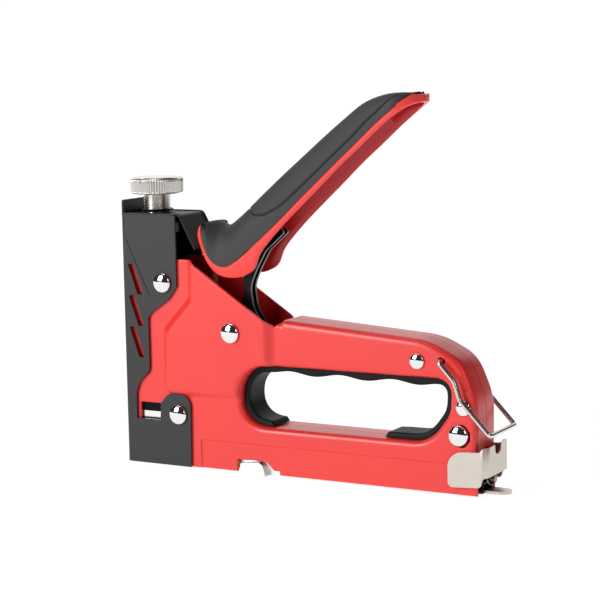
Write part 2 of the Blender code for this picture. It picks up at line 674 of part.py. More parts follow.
def make_plunger():
    pivot = (SPRING_AXIS_X, 0, PLUNGER_Z)
    body = box("plunger", (PLUNGER_X, -SLIDER_HALF, PLUNGER_Z), (PLUNGER_REAR, SLIDER_HALF, PLUNGER_TOP),
               STEEL, pivot)
    lug_half = PLATE_INNER - SLIDE_SLACK
    lug = box("plunger_lug", (PLUNGER_REAR - 2, -lug_half, LUG_Z),
              (TIP_X + 4.5, lug_half, LUG_Z + LUG_HEIGHT), None, pivot)
    change(body, lug, "UNION")
    half = MAGAZINE_WIDTH / 2 - MAGAZINE_SHEET
    box("driver_blade", (BLADE_X, -half, 0.6), (BLADE_X + BLADE_SHEET, half, PLUNGER_TOP - 3), STEEL, pivot)
    gap = CLEARANCE + SPRING_WIRE
    start = (SPRING_AXIS_X, 0, max(PLUNGER_TOP, LUG_Z + LUG_HEIGHT) + gap)
    room = SEAT_BOTTOM - gap - start[2]
    coil("main_spring", start, (0, 0, 1), room, SPRING_TURNS, SPRING_RADIUS - SPRING_WIRE, SPRING_WIRE, 14,
         STEEL)


def make_screw():
    pivot = (SPRING_AXIS_X, 0, SEAT_TOP)
    half = SLIDER_HALF
    rear = PLUNGER_REAR + 0.6
    ring = outline([(PLUNGER_X, -half, 3), (rear, -half, 3), (rear, half, 3), (PLUNGER_X, half, 3)])
    prism("spring_seat", ring, SEAT_BOTTOM, SEAT_TOP, STEEL, pivot, place=along_z)
    centre = (SPRING_AXIS_X, 0)
    turned("tension_screw", [(SCREW_RADIUS - 0.8, SEAT_TOP + CLEARANCE), (SCREW_RADIUS, SEAT_TOP + 1.1),
                             (SCREW_RADIUS, KNOB_Z - CLEARANCE)], centre, along_z, NICKEL, pivot, 24)
    top = KNOB_Z + KNOB_HEIGHT
    profile = [(KNOB_RADIUS - 1.2, KNOB_Z), (KNOB_RADIUS, KNOB_Z + 0.9), (KNOB_RADIUS, top - 1.1),
               (KNOB_RADIUS - 1.0, top - 0.3), (KNOB_RADIUS - 2.4, top)]
    turned("adjusting_knob", profile, centre, along_z, NICKEL, pivot, 48)


# ---- bail --------------------------------------------------------------------------------------
def make_bail():
    """Bent wire that swings up over the handle's tip to hold it shut."""
    pivot = (BAIL_X, 0, BAIL_Z)
    side_view = [(0, 0), (3.0, -2.9), (5.8, -6.2), (7.3, -9.4), (8.8, -13.2), (12.2, -17.2), (16.2, -22.3),
                 (19.6, -25.6)]
    half = BAIL_HALF
    hook = INSIDE_HALF - 0.8
    leg = [Vector((BAIL_X, -hook, BAIL_Z)), Vector((BAIL_X, -half + 1.6, BAIL_Z)),
           Vector((BAIL_X + 0.4, -half + 0.4, BAIL_Z - 0.4))]
    leg += [Vector((BAIL_X + x, -half, BAIL_Z + z)) for x, z in side_view[1:]]
    leg += [Vector((BAIL_X + 20.4, -half + 0.4, BAIL_Z - 26.3)),
            Vector((BAIL_X + 20.8, -half + 1.5, BAIL_Z - 26.7))]
    mirrored = [Vector((p.x, -p.y, p.z)) for p in reversed(leg)]
    return wire("wire_bail", leg + mirrored, WIRE_RADIUS, CHROME, pivot)


# ---- magazine ----------------------------------------------------------------------------------
def make_magazine():
    rail_half = MAGAZINE_WIDTH / 2 - MAGAZINE_SHEET - CLEARANCE
    inner = rail_half - RAIL_SHEET
    floor = MAGAZINE_BOTTOM + MAGAZINE_SHEET + CLEARANCE
    top = floor + RAIL_HEIGHT
    rail_end = LATCH_X - LATCH_SHEET - CLEARANCE - 3.2
    ring = outline([
        (-rail_half, floor), (rail_half, floor), (rail_half, top), (inner, top), (inner, floor + RAIL_SHEET),
        (-inner, floor + RAIL_SHEET), (-inner, top), (-rail_half, top),
    ])
    prism("staple_rail", ring, MAGAZINE_X + 1.5, rail_end, BLACK_STEEL, place=along_x)
    start = rail_end + CLEARANCE
    half = TONGUE_HALF
    tongue = outline([(start, -half), (TONGUE_X, -half, 3.4), (TONGUE_X, half, 3.4), (start, half)])
    prism("pull_tongue", tongue, floor, floor + 1.1, STEEL, place=along_z)
    latch_view = outline([
        (BODY_LENGTH - LATCH_WRAP, LATCH_BOTTOM, 2.2), (LATCH_X - 3.1, LATCH_BOTTOM + 0.8, 1.5),
        (LATCH_X - 1.9, LATCH_BOTTOM + 4.4, 1), (LATCH_X, LATCH_BOTTOM + 4.6),
        (LATCH_X, LATCH_TOP), (BODY_LENGTH - LATCH_WRAP, LATCH_TOP - 0.6, 6.5),
    ])
    latch = prism("magazine_latch", latch_view, -LATCH_HALF, LATCH_HALF, NICKEL)
    room = HALF + CLEARANCE
    change(latch, box("latch_room", (BODY_LENGTH - 30, -room, -5), (LATCH_X - LATCH_SHEET, room, 40)))
    rod_front = MAGAZINE_X + 2.2
    rod_end = LATCH_X - LATCH_SHEET - CLEARANCE
    profile = [(ROD_RADIUS, rod_front), (ROD_RADIUS, rod_end)]
    turned("guide_rod", profile, (0, ROD_Z), along_x, STEEL, sides=12)
    follower_x = MAGAZINE_X + 1.8
    follower_half = inner - CLEARANCE
    block = outline([
        (-follower_half, floor + RAIL_SHEET + CLEARANCE), (follower_half, floor + RAIL_SHEET + CLEARANCE),
        (follower_half, top + 1.4, 1), (-follower_half, top + 1.4, 1),
    ])
    rear = follower_x + FOLLOWER_LENGTH
    prism("staple_follower", block, follower_x, rear, BLACK_PLASTIC, (follower_x, 0, ROD_Z),
          holes=[circle(0, ROD_Z, ROD_RADIUS + CLEARANCE, 12)], place=along_x)
    gap = CLEARANCE + FOLLOWER_WIRE
    start = follower_x + FOLLOWER_LENGTH + gap
    coil_radius = ROD_RADIUS + FOLLOWER_WIRE + 2 * CLEARANCE
    coil("follower_spring", (start, 0, ROD_Z), (1, 0, 0), rod_end - gap - start, FOLLOWER_TURNS, coil_radius,
         FOLLOWER_WIRE, 10, STEEL)


# ---- build -------------------------------------------------------------------------------------
FRAME = start_clean()
RED_PAINT = finish("red_paint", (0.80, 0.06, 0.045), 0.35, 0.0)
BLACK_PAINT = finish("black_paint", (0.055, 0.055, 0.055), 0.45, 0.0)
BLACK_STEEL = finish("black_steel", (0.02, 0.02, 0.02), 0.4, 0.6)
BLACK_RUBBER = finish("black_rubber", (0.015, 0.015, 0.015), 0.8, 0.0)
BLACK_PLASTIC = finish("black_plastic", (0.012, 0.011, 0.012), 0.5, 0.0)
SOFT_BLACK = finish("soft_black", (0.05, 0.05, 0.05), 0.7, 0.0)
TEXTURED_BLACK = finish("textured_black", (0.06, 0.058, 0.058), 0.85, 0.0)
NICKEL = finish("nickel", (0.62, 0.58, 0.53), 0.3, 1.0)
ZINC = finish("zinc", (0.75, 0.76, 0.78), 0.35, 1.0)
CHROME = finish("chrome", (0.85, 0.85, 0.86), 0.1, 1.0)
STEEL = finish("steel", (0.5, 0.5, 0.5), 0.35, 1.0)

make_shell("left_shell", -1)
make_shell("right_shell", 1)
make_front_cover()
make_top_bracket()
make_guides()
make_rivets()
make_grip_liner()
make_magazine_channel()
make_handle()
make_grip()
make_lever()
make_plunger()
make_screw()
make_bail()
make_magazine()
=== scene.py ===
"""Hand staple gun: red pressed shells, a black folded nose cover, a squeeze handle with a soft grip,
a knurled tension knob, a wire bail and a sliding magazine, on a plain white sweep in soft studio light.

Sizes are in millimetres, X from the nose to the back and Z from the shells' bottom edge.
"""

import json
import math

import bmesh
import bpy
import numpy as np
from mathutils import Matrix, Vector, geometry


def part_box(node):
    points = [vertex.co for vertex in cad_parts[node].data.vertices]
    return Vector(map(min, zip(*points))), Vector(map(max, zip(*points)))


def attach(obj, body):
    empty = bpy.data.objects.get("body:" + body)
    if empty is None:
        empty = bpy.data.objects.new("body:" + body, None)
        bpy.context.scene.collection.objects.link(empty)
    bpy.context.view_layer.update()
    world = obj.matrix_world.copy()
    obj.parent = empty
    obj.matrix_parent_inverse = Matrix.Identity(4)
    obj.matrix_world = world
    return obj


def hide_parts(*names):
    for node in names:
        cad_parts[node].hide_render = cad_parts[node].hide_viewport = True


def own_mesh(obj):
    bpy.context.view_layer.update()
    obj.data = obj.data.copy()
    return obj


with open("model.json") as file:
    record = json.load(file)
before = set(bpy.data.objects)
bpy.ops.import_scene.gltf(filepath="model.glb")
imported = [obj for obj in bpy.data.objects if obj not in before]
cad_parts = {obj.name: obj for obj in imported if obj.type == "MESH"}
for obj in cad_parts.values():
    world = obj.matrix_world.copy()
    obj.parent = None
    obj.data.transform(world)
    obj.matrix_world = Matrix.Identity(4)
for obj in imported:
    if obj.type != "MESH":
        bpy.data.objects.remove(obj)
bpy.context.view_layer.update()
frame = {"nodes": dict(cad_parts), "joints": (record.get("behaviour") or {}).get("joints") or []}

# ---- shells ------------------------------------------------------------------------------------
# Two mirrored halves of the body, stamped from 1.1 mm steel sheet and powder coated red.  A raised
# panel is pressed into the front half of each, and the edges along the beam, the back and the hand
# hole are turned in to a seam on the middle plane.  Rivets hold the halves together.
MM = 0.001
NOSE_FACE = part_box("front_cover")[0].x
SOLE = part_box("front_cover")[0].z

SHELL_HALF = 9.4
SHEET = 1.1
SEAM_HALF = 0.15
PANEL_RISE = 2.3
PANEL_SLOPE = 3.8
EDGE_BEND = 2.6
HOLE_BEND = 2.2
CUT_EDGE = 0.4
REAR = 157.4
RECESS = 0.55

SHELL_RED = "#E8302B"
# Painted shade: a darker red for the shadowed inner faces of the shells and the handle channel.
SHADED_INSIDE_RED = "#B4000F"


def linear(colour):
    """sRGB hex digits as linear red, green, blue and full alpha."""
    parts = np.array([int(colour[i:i + 2], 16) / 255 for i in (1, 3, 5)])
    return (*np.where(parts <= 0.04045, parts / 12.92, ((parts + 0.055) / 1.055) ** 2.4), 1.0)


def node(tree, kind, settings, links):
    """Add one node; settings are its own properties, links are sockets or values for its inputs."""
    made = tree.nodes.new(kind)
    for key, value in settings.items():
        setattr(made, key, value)
    for key, value in links.items():
        if isinstance(value, bpy.types.NodeSocket):
            tree.links.new(value, made.inputs[key])
        else:
            made.inputs[key].default_value = value
    return made


def surface(name, values):
    """An empty Principled material, its shader, its tree and its object coordinates."""
    material = bpy.data.materials.new(name)
    material.use_nodes = True
    tree = material.node_tree
    shader = tree.nodes["Principled BSDF"]
    for key, value in values.items():
        shader.inputs[key].default_value = value
    where = node(tree, "ShaderNodeTexCoord", {}, {}).outputs["Object"]
    return material, shader, tree, where


def powder_coat(name, colour, inside, roughness, peel, coat):
    """Baked powder coat: a satin film whose orange peel is about 0.9 mm across.  Faces that look
    towards the middle plane take the darker inside colour, a painted shade for the shadowed insides."""
    material, shader, tree, where = surface(name, {"Roughness": roughness, "Coat Weight": coat,
                                                   "Coat Roughness": 0.28})
    drift = node(tree, "ShaderNodeTexNoise", {}, {"Vector": where, "Scale": 40.0, "Detail": 2.0})
    facing = node(tree, "ShaderNodeNewGeometry", {}, {}).outputs["Normal"]
    facing = node(tree, "ShaderNodeSeparateXYZ", {}, {"Vector": facing})
    spot = node(tree, "ShaderNodeSeparateXYZ", {}, {"Vector": where})
    # Painted shade: faces that look towards the middle plane take the darker inside colour.
    outward = node(tree, "ShaderNodeMath", {"operation": "MULTIPLY"}, {0: facing.outputs["Y"],
                                                                       1: spot.outputs["Y"]})
    shaded_inside_mask = node(tree, "ShaderNodeMapRange", {}, {"Value": outward.outputs["Value"], "From Min": -0.0005,
                                                   "From Max": -0.003})
    film = node(tree, "ShaderNodeMix", {"data_type": "RGBA"}, {0: shaded_inside_mask.outputs["Result"],
                                                              6: linear(colour), 7: linear(inside)})
    tone = node(tree, "ShaderNodeMix", {"data_type": "RGBA", "blend_type": "MULTIPLY"},
                {0: 1.0, 6: film.outputs[2]})
    shift = node(tree, "ShaderNodeMapRange", {}, {"Value": drift.outputs["Fac"], "To Min": 0.93,
                                                  "To Max": 1.05})
    tree.links.new(shift.outputs["Result"], tone.inputs[7])
    tree.links.new(tone.outputs[2], shader.inputs["Base Color"])
    gloss = node(tree, "ShaderNodeMapRange", {}, {"Value": drift.outputs["Fac"], "To Min": roughness - 0.04,
                                                  "To Max": roughness + 0.05})
    tree.links.new(gloss.outputs["Result"], shader.inputs["Roughness"])
    skin = node(tree, "ShaderNodeTexNoise", {}, {"Vector": where, "Scale": 1100.0, "Detail": 1.0})
    bump = node(tree, "ShaderNodeBump", {}, {"Height": skin.outputs["Fac"], "Strength": peel,
                                             "Distance": 0.00004})
    tree.links.new(bump.outputs["Normal"], shader.inputs["Normal"])
    return material


def outline(corners, step=0.9, closed=True):
    """Points round an outline, counter-clockwise.  Each corner (x, z, radius) is turned by an arc that
    touches both its edges, and the straight runs between are divided evenly."""
    corners = [tuple(c) + (0.0,) * (3 - len(c)) for c in corners]
    spots = np.array([c[:2] for c in corners])
    runs = []
    for i, (_, _, radius) in enumerate(corners):
        if radius == 0 or (not closed and i in (0, len(corners) - 1)):
            runs.append(spots[i][None])
            continue
        back = spots[i - 1] - spots[i]
        ahead = spots[(i + 1) % len(spots)] - spots[i]
        long_back, long_ahead = np.linalg.norm(back), np.linalg.norm(ahead)
        back, ahead = back / long_back, ahead / long_ahead
        half = math.acos(np.clip(back @ ahead, -1, 1)) / 2
        reach = min(radius / math.tan(half), 0.49 * min(long_back, long_ahead))
        radius = reach * math.tan(half)
        centre = spots[i] + (back + ahead) / np.linalg.norm(back + ahead) * radius / math.sin(half)
        first, last = spots[i] + back * reach - centre, spots[i] + ahead * reach - centre
        start = math.atan2(first[1], first[0])
        turn = (math.atan2(last[1], last[0]) - start + math.pi) % (2 * math.pi) - math.pi
        angles = start + turn * np.linspace(0, 1, max(3, math.ceil(abs(turn) / 0.1)) + 1)
        runs.append(centre + radius * np.stack([np.cos(angles), np.sin(angles)], 1))
    points = np.vstack(runs)
    ends = np.roll(points, -1, 0) if closed else points[1:]
    starts = points if closed else points[:-1]
    counts = np.maximum(1, np.ceil(np.linalg.norm(ends - starts, axis=1) / step)).astype(int)
    owner = np.repeat(np.arange(len(starts)), counts)
    part = (np.arange(counts.sum()) - np.repeat(np.cumsum(counts) - counts, counts)) / counts[owner]
    points = starts[owner] + (ends - starts)[owner] * part[:, None]
    if not closed:
        return np.vstack([points, ends[-1:]])
    area = np.sum(points[:, 0] * np.roll(points[:, 1], -1) - np.roll(points[:, 0], -1) * points[:, 1])
    return points if area > 0 else points[::-1]


def mitres(loop):
    """For each point of a loop, the step to its left that moves both edges beside it by one."""
    edges = np.roll(loop, -1, 0) - loop
    edges /= np.linalg.norm(edges, axis=1)[:, None] + 1e-12
    left = np.stack([-edges[:, 1], edges[:, 0]], 1)
    before = np.roll(left, 1, 0)
    return (left + before) / (1 + np.sum(left * before, 1))[:, None].clip(0.35)


def depth_inside(points, loops):
    """Distance from each point to the nearest edge of any loop, positive where an odd number of
    edges lies to its right."""
    result = np.empty(len(points))
    starts = np.vstack(loops)
    ends = np.vstack([np.roll(loop, -1, 0) for loop in loops])
    runs = ends - starts
    for part in np.array_split(np.arange(len(points)), max(1, len(points) * len(starts) // 4_000_000 + 1)):
        away = points[part][:, None] - starts[None]
        along = np.clip((away * runs).sum(2) / (runs * runs).sum(1), 0, 1)
        near = np.sqrt((((away - runs * along[..., None]) ** 2).sum(2)).min(1))
        level = points[part][:, None, 1]
        crosses = (starts[:, 1] > level) != (ends[:, 1] > level)
        with np.errstate(divide="ignore", invalid="ignore"):
            at = starts[:, 0] + (level - starts[:, 1]) * runs[:, 0] / runs[:, 1]
        odd = (crosses & (points[part][:, None, 0] < at)).sum(1) % 2
        result[part] = np.where(odd, near, -near)
    return result


def blank(loops, extra, spacing):
    """A flat sheet inside the loops: their points, rows of extra points and a spread of points in
    between, joined by a Delaunay mesh that keeps to the loops."""
    low, high = loops[0].min(0), loops[0].max(0)
    across = np.arange(low[0], high[0], spacing)
    up = np.arange(low[1], high[1], spacing * 0.866)
    gx, gz = np.meshgrid(across, up)
    gx = gx + (np.arange(len(up)) % 2)[:, None] * spacing / 2
    grid = np.stack([gx.ravel(), gz.ravel()], 1)
    extra = extra[depth_inside(extra, loops) > 0.45 * spacing]
    cells = np.round(extra / spacing).astype(int) @ (1, 100_000)
    grid = grid[~np.isin(np.round(grid / spacing).astype(int) @ (1, 100_000), cells)]
    grid = grid[depth_inside(grid, loops) > 0.55 * spacing]
    points = np.vstack([*loops, extra, grid])
    ids, edges = 0, []
    for loop in loops:
        mine = np.arange(ids, ids + len(loop))
        edges.append(np.stack([mine, np.roll(mine, -1)], 1))
        ids += len(loop)
    found = geometry.delaunay_2d_cdt(points.tolist(), np.vstack(edges).tolist(), [], 0, 1e-5)
    spots, faces = np.array(found[0]), np.array(found[2])
    faces = faces[depth_inside(spots[faces].mean(1), loops) > 0]
    turn = np.cross(spots[faces[:, 1]] - spots[faces[:, 0]], spots[faces[:, 2]] - spots[faces[:, 0]])
    faces[turn < 0] = faces[turn < 0][:, ::-1]
    return spots, faces


def grid_faces(rows, columns, ring_rows=False, ring_columns=False):
    """Four-cornered faces of a grid of points numbered row by row; a ring joins its last line to
    its first."""
    i, j = np.meshgrid(np.arange(rows - (not ring_rows)), np.arange(columns - (not ring_columns)),
                       indexing="ij")
    i2, j2 = (i + 1) % rows, (j + 1) % columns
    return np.stack([i * columns + j, i * columns + j2, i2 * columns + j2, i2 * columns + j],
                    -1).reshape(-1, 4)


def face_outwards(mesh):
    """Turn a mesh whose faces, weighed by area, look towards its middle rather than away from it."""
    count = len(mesh.polygons)
    normal, centre, area = np.empty((count, 3)), np.empty((count, 3)), np.empty(count)
    for key, values in (("normal", normal), ("center", centre), ("area", area)):
        mesh.polygons.foreach_get(key, values.ravel())
    if np.sum(area * np.sum(normal * (centre - centre.mean(0)), 1)) < 0:
        mesh.flip_normals()


def build(name, groups, material, body, replaced, sharp=38.0):
    """One finished piece.  Groups are (points in mm, faces) pairs that are joined where they meet."""
    mesh = bpy.data.meshes.new(name)
    points = np.vstack([np.asarray(p, float).reshape(-1, 3) for p, _ in groups])
    starts = np.cumsum([0] + [np.asarray(p).reshape(-1, 3).shape[0] for p, _ in groups])
    faces = [face for (_, found), start in zip(groups, starts)
             for face in (np.asarray(found) + start).tolist()]
    mesh.from_pydata((points * MM + (NOSE_FACE, 0, SOLE)).tolist(), [], faces)
    work = bmesh.new()
    work.from_mesh(mesh)
    bmesh.ops.remove_doubles(work, verts=work.verts, dist=3e-6)
    bmesh.ops.dissolve_degenerate(work, edges=work.edges, dist=1e-7)
    bmesh.ops.recalc_face_normals(work, faces=work.faces)
    work.to_mesh(mesh)
    work.free()
    face_outwards(mesh)
    mesh.shade_smooth()
    mesh.set_sharp_from_angle(angle=math.radians(sharp))
    piece = bpy.data.objects.new(name, mesh)
    bpy.context.scene.collection.objects.link(piece)
    mesh.materials.append(material)
    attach(piece, body)
    if replaced:
        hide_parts(*replaced)
    return piece


def turned_edge(loop, side, bend, end, wall, level, sheet):
    """The rolled or cut edge of a stamped sheet, with its fill boundary on each face.  Across each
    point of the loop runs one section: a quarter circle of the bend's radius from the face down to
    the loop, straight to the end, over the wall's thickness, and back up inside it."""
    step = mitres(loop)
    top = level(loop + step * bend[:, None])
    drop = np.minimum(bend, top - end)
    turn = np.linspace(0, math.pi / 2, 8)
    outer_in = bend[:, None] * (1 - np.sin(turn))
    outer_up = top[:, None] - drop[:, None] * (1 - np.cos(turn))
    back = turn[::-1]
    inner_in = wall[:, None] + (bend - wall)[:, None] * (1 - np.sin(back))
    inner_up = (top - sheet)[:, None] - np.maximum(drop - sheet, 0)[:, None] * (1 - np.cos(back))
    inner_up = np.maximum(inner_up, end[:, None])
    away = np.concatenate([outer_in, 0 * end[:, None], wall[:, None], inner_in], 1)
    height = np.concatenate([outer_up, end[:, None], end[:, None], inner_up], 1)
    flat = loop[:, None] + step[:, None] * away[..., None]
    points = np.stack([flat[..., 0], side * height, flat[..., 1]], -1)
    return points.reshape(-1, 3), grid_faces(len(loop), height.shape[1], ring_rows=True)


def smooth(value):
    """Rises from 0 to 1 as the value does, with level ends."""
    value = np.clip(value, 0, 1)
    return value * value * (3 - 2 * value)


HAND_HOLE = [(54.7, 18.9, 11), (55.0, 43.9, 14), (147.0, 43.9, 9), (146.4, 30.9, 10), (137.6, 18.9, 14)]
PANEL_FOOT = outline([(18.2, 28.6, 5), (64, 28.6), (71.0, 40), (71.0, 70), (60, 120), (31.2, 120),
                      (31.2, 70, 2), (19.0, 56.6, 5)])
MAGAZINE_RECESS = outline([(35.7, -20), (170, -20), (170, 11.9), (35.7, 11.9)], 0.6)


def shell_level(spots):
    """Height of a shell's face off the middle plane: flat, up a smooth slope onto the raised panel,
    and down a short step into the panel over the magazine."""
    onto = smooth(depth_inside(spots, [PANEL_FOOT]) / PANEL_SLOPE)
    into = smooth(depth_inside(spots, [MAGAZINE_RECESS]) / 0.4)
    under = smooth((12.0 - spots[:, 0]) / 1.5) * smooth((spots[:, 1] - 36) / 4)
    dent = np.exp(-(((spots[:, 0] - 148.6) / 2.6) ** 2 + ((spots[:, 1] - 45.5) / 5.5) ** 2))
    return SHELL_HALF + PANEL_RISE * onto - RECESS * into - 0.9 * under - 0.35 * dent


def make_shell(name, side, node_name, material):
    """One half, on the side of the middle plane that side gives: its outline and openings get a
    turned or a cut edge, and a sheet at the shell's level fills what lies between them, twice, one
    thickness apart."""
    silhouette = outline([(1.6, 0), (52.5, 0), (52.5, 4.9), (66.0, 4.9, 3), (69.4, 1.6), (72.0, 1.6),
                          (72.0, 0), (REAR, 0), (REAR, 17.5), (REAR + 0.2, 36, 28),
                          (REAR - 6.2, 51.2, 14), (REAR - 20.5, 58.3, 30), (74.7, 62.5), (71.0, 59.8),
                          (32.3, 85.0, 1.5), (1.6, 85.0)])
    rolled = (silhouette[:, 0] > 72.5) & (silhouette[:, 1] > 17.4)
    hole = outline(HAND_HOLE)[::-1]
    window = outline([(7, 17.4, 0.4), (18.6, 17.4, 0.4), (18.6, 25.2, 0.4), (7, 25.2, 0.4)], 0.6)[::-1]
    bail_eye = outline([(141.8, 49.5, 1.4), (144.6, 49.5, 1.4), (144.6, 52.3, 1.4),
                        (141.8, 52.3, 1.4)], 0.5)[::-1]
    rivet_slot = outline([(147.5, 26.2, 2), (152.2, 27.2, 2), (155.9, 22.7, 0.6), (152.2, 18.2, 2),
                          (147.5, 19.0, 2)], 0.6)[::-1]
    edges = [(silhouette, rolled, EDGE_BEND), (hole, np.ones(len(hole), bool), HOLE_BEND)]
    edges += [(cut, np.zeros(len(cut), bool), CUT_EDGE) for cut in (window, bail_eye, rivet_slot)]
    groups, rims = [], []
    for loop, turned, bend in edges:
        radius = np.where(turned, bend, CUT_EDGE)
        top = shell_level(loop + mitres(loop) * radius[:, None])
        end = np.where(turned, SEAM_HALF, top - SHEET)
        wall = np.where(turned, SHEET, 0.0)
        groups.append(turned_edge(loop, side, radius, end, wall, shell_level, SHEET))
        rims.append(loop + mitres(loop) * radius[:, None])
    foot, step = PANEL_FOOT, mitres(PANEL_FOOT)
    rows = [foot + step * PANEL_SLOPE * part for part in (0.0, 0.2, 0.4, 0.6, 0.8, 1.0)]
    rows += [MAGAZINE_RECESS + mitres(MAGAZINE_RECESS) * part for part in (-0.1, 0.0, 0.4, 0.5)]
    spots, faces = blank(rims, np.vstack(rows), 1.0)
    level = shell_level(spots)
    groups.append((np.stack([spots[:, 0], side * level, spots[:, 1]], 1), faces))
    groups.append((np.stack([spots[:, 0], side * (level - SHEET), spots[:, 1]], 1), faces[:, ::-1]))
    return build(name, groups, material, "gun_body", [node_name], sharp=50)


# A satin film: soft broad highlights under a faint clear skin.
# The shells' inner faces take the darker red as painted shade.
RED_COAT = powder_coat("red powder coat on steel", SHELL_RED, SHADED_INSIDE_RED, 0.38, 0.12, 0.35)
make_shell("left_pressing", -1, "left_shell", RED_COAT)
make_shell("right_pressing", 1, "right_shell", RED_COAT)

# ---- nose cover --------------------------------------------------------------------------------
# One sheet of 0.8 mm steel, pierced with three slots and a window on each side, folded round the
# front of the gun and powder coated black.
COVER_HALF = 10.5
COVER_SHEET = 0.8
COVER_TOP = 103.5
COVER_BEND = 2.4
CREASE_DEPTH = 0.22
COVER_BLACK = "#232324"


def prism(loop, low, high, place):
    """A straight bar: a loop of points at two levels along the axis that place puts last, with the
    walls between and a face at each end."""
    rings = np.stack([place(loop[:, 0], loop[:, 1], np.full(len(loop), level)) for level in (low, high)])
    count = len(loop)
    walls = grid_faces(2, count, ring_columns=True)
    ends = [np.arange(count)[::-1].tolist(), (np.arange(count) + count).tolist()]
    return rings.reshape(-1, 3), walls, ends


def along_y(a, b, level):
    """Places of points drawn in the side view, with the level across the gun."""
    return np.stack([a, level, b], 1)


def along_x(a, b, level):
    """Places of points drawn from behind, with the level along the gun."""
    return np.stack([level, a, b], 1)


def along_z(a, b, level):
    """Places of points drawn in plan, with the level up the gun."""
    return np.stack([a, b, level], 1)


def solid(name, loop, low, high, place):
    """A bar as a loose object, for cutting sheets to shape."""
    points, walls, ends = prism(loop, low, high, place)
    mesh = bpy.data.meshes.new(name)
    mesh.from_pydata((points * MM + (NOSE_FACE, 0, SOLE)).tolist(), [], walls.tolist() + ends)
    work = bmesh.new()
    work.from_mesh(mesh)
    bmesh.ops.recalc_face_normals(work, faces=work.faces)
    work.to_mesh(mesh)
    work.free()
    loose = bpy.data.objects.new(name, mesh)
    bpy.context.scene.collection.objects.link(loose)
    return loose


def bent_sheet(name, blank_bar, kept, cut, material, body, replaced, edge):
    """A folded sheet: the bar is kept only inside one prism, pierced by others, and its cut edges
    are broken by a small bevel."""
    for bar, how in [(kept, "INTERSECT")] + [(c, "DIFFERENCE") for c in cut]:
        change = blank_bar.modifiers.new(how.lower(), "BOOLEAN")
        change.operation, change.solver, change.object = how, "EXACT", bar
    bevel = blank_bar.modifiers.new("edge", "BEVEL")
    bevel.width, bevel.segments, bevel.limit_method = edge * MM, 2, "ANGLE"
    bevel.angle_limit = math.radians(50)
    bevel.use_clamp_overlap = True
    bpy.context.view_layer.update()
    shape = bpy.data.meshes.new_from_object(blank_bar.evaluated_get(bpy.context.evaluated_depsgraph_get()))
    for loose in [blank_bar, kept, *cut]:
        bpy.data.objects.remove(loose)
    shape.materials.clear()
    shape.materials.append(material)
    shape.shade_smooth()
    shape.set_sharp_from_angle(angle=math.radians(35))
    facing = np.empty(3 * len(shape.polygons))
    shape.polygons.foreach_get("normal", facing)
    shape.polygons.foreach_set("use_smooth", np.abs(facing.reshape(-1, 3)).max(1) < 0.9999)
    piece = bpy.data.objects.new(name, shape)
    bpy.context.scene.collection.objects.link(piece)
    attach(piece, body)
    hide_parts(*replaced)
    return piece


def folded_section(length, half, radius, sheet):
    """Plan of a sheet folded twice: along one side, round a bend, across the front, and back."""
    inner = half - sheet
    return outline([(0, -half, radius), (length, -half), (length, -inner), (sheet, -inner, radius - sheet),
                    (sheet, inner, radius - sheet), (length, inner), (length, half), (0, half, radius)], 30)


# Duller than the red, so the folds show as soft changes of tone.
BLACK_COAT = powder_coat("black powder coat on steel", COVER_BLACK, COVER_BLACK, 0.5, 0.16, 0.0)

wrap = solid("wrap", folded_section(40, COVER_HALF, COVER_BEND, COVER_SHEET), -0.0, COVER_TOP + 5, along_z)
cover_side = outline([
    (-1, -1), (-1, COVER_TOP + 6), (1.2, COVER_TOP + 6), (1.6, COVER_TOP - 0.7),
    (26.5, COVER_TOP - 0.7, 0.6), (26.5, 74.0, 1.5), (22.5, 68.6, 2.5), (14, 62.6, 2.5), (12.5, 60.5, 1.5),
    (12.5, 38.9, 3), (7.4, 33.5, 3), (5.7, 29.3, 2), (5.7, 18.5, 0.3), (17.2, 18.5, 0.6), (17.5, 25.6, 0.8),
    (21.6, 29.9, 4.5), (31.9, 29.9, 8.5), (31.5, 0), (31.5, -1)], 30)
slots = []
for foot_z in (44.0, 57.0, 70.0):
    slot_loop = outline([(7.7, foot_z, 0.5), (10.4, foot_z, 0.5), (5.8, foot_z + 12.6, 0.5),
                         (3.2, foot_z + 12.6, 0.5)], 30)
    slots.append(solid("slot", slot_loop, -20, 20, along_y))
crease = outline([(0.0, 99.6), (13.6, 71.2), (18.3, 70.2), (18.3, 69.4), (13.0, 70.4), (0.0, 98.2)], 30)
slots.append(solid("crease", crease, -12, CREASE_DEPTH - COVER_HALF, along_y))
slots.append(solid("far_crease", crease, COVER_HALF - CREASE_DEPTH, 12, along_y))
corner = np.linspace(0, math.pi / 2, 7)
for side in (-1, 1):
    arc = np.stack([7.9 + 2.7 * np.cos(corner), COVER_TOP + 2.3 + 2.7 * np.sin(corner)], 1)
    snip = np.vstack([[(12.0, COVER_TOP + 2.3)], arc, [(7.9, COVER_TOP + 8), (12.0, COVER_TOP + 8)]])
    slots.append(solid("snip", snip * (side, 1), -2, 3, along_x))
bent_sheet("nose_cover", wrap, solid("kept", cover_side, -20, 20, along_y), slots, BLACK_COAT, "gun_body",
           ["front_cover"], 0.18)

# ---- top strap ---------------------------------------------------------------------------------
# A 1.1 mm strip over the top of the gun that the tension screw threads through, bent down behind
# the spring.  Same black powder coat.
STRAP_TOP_HALF = 10.4
STRAP_SLOPE_HALF = 9.6
STRAP_SHEET = 1.1
STRAP_CORNER = 0.45
strap_path = outline([(0.9, COVER_TOP - STRAP_SHEET / 2), (27.8, COVER_TOP - STRAP_SHEET / 2, 1.7),
                      (35.1, 89.4)], 0.8, closed=False)


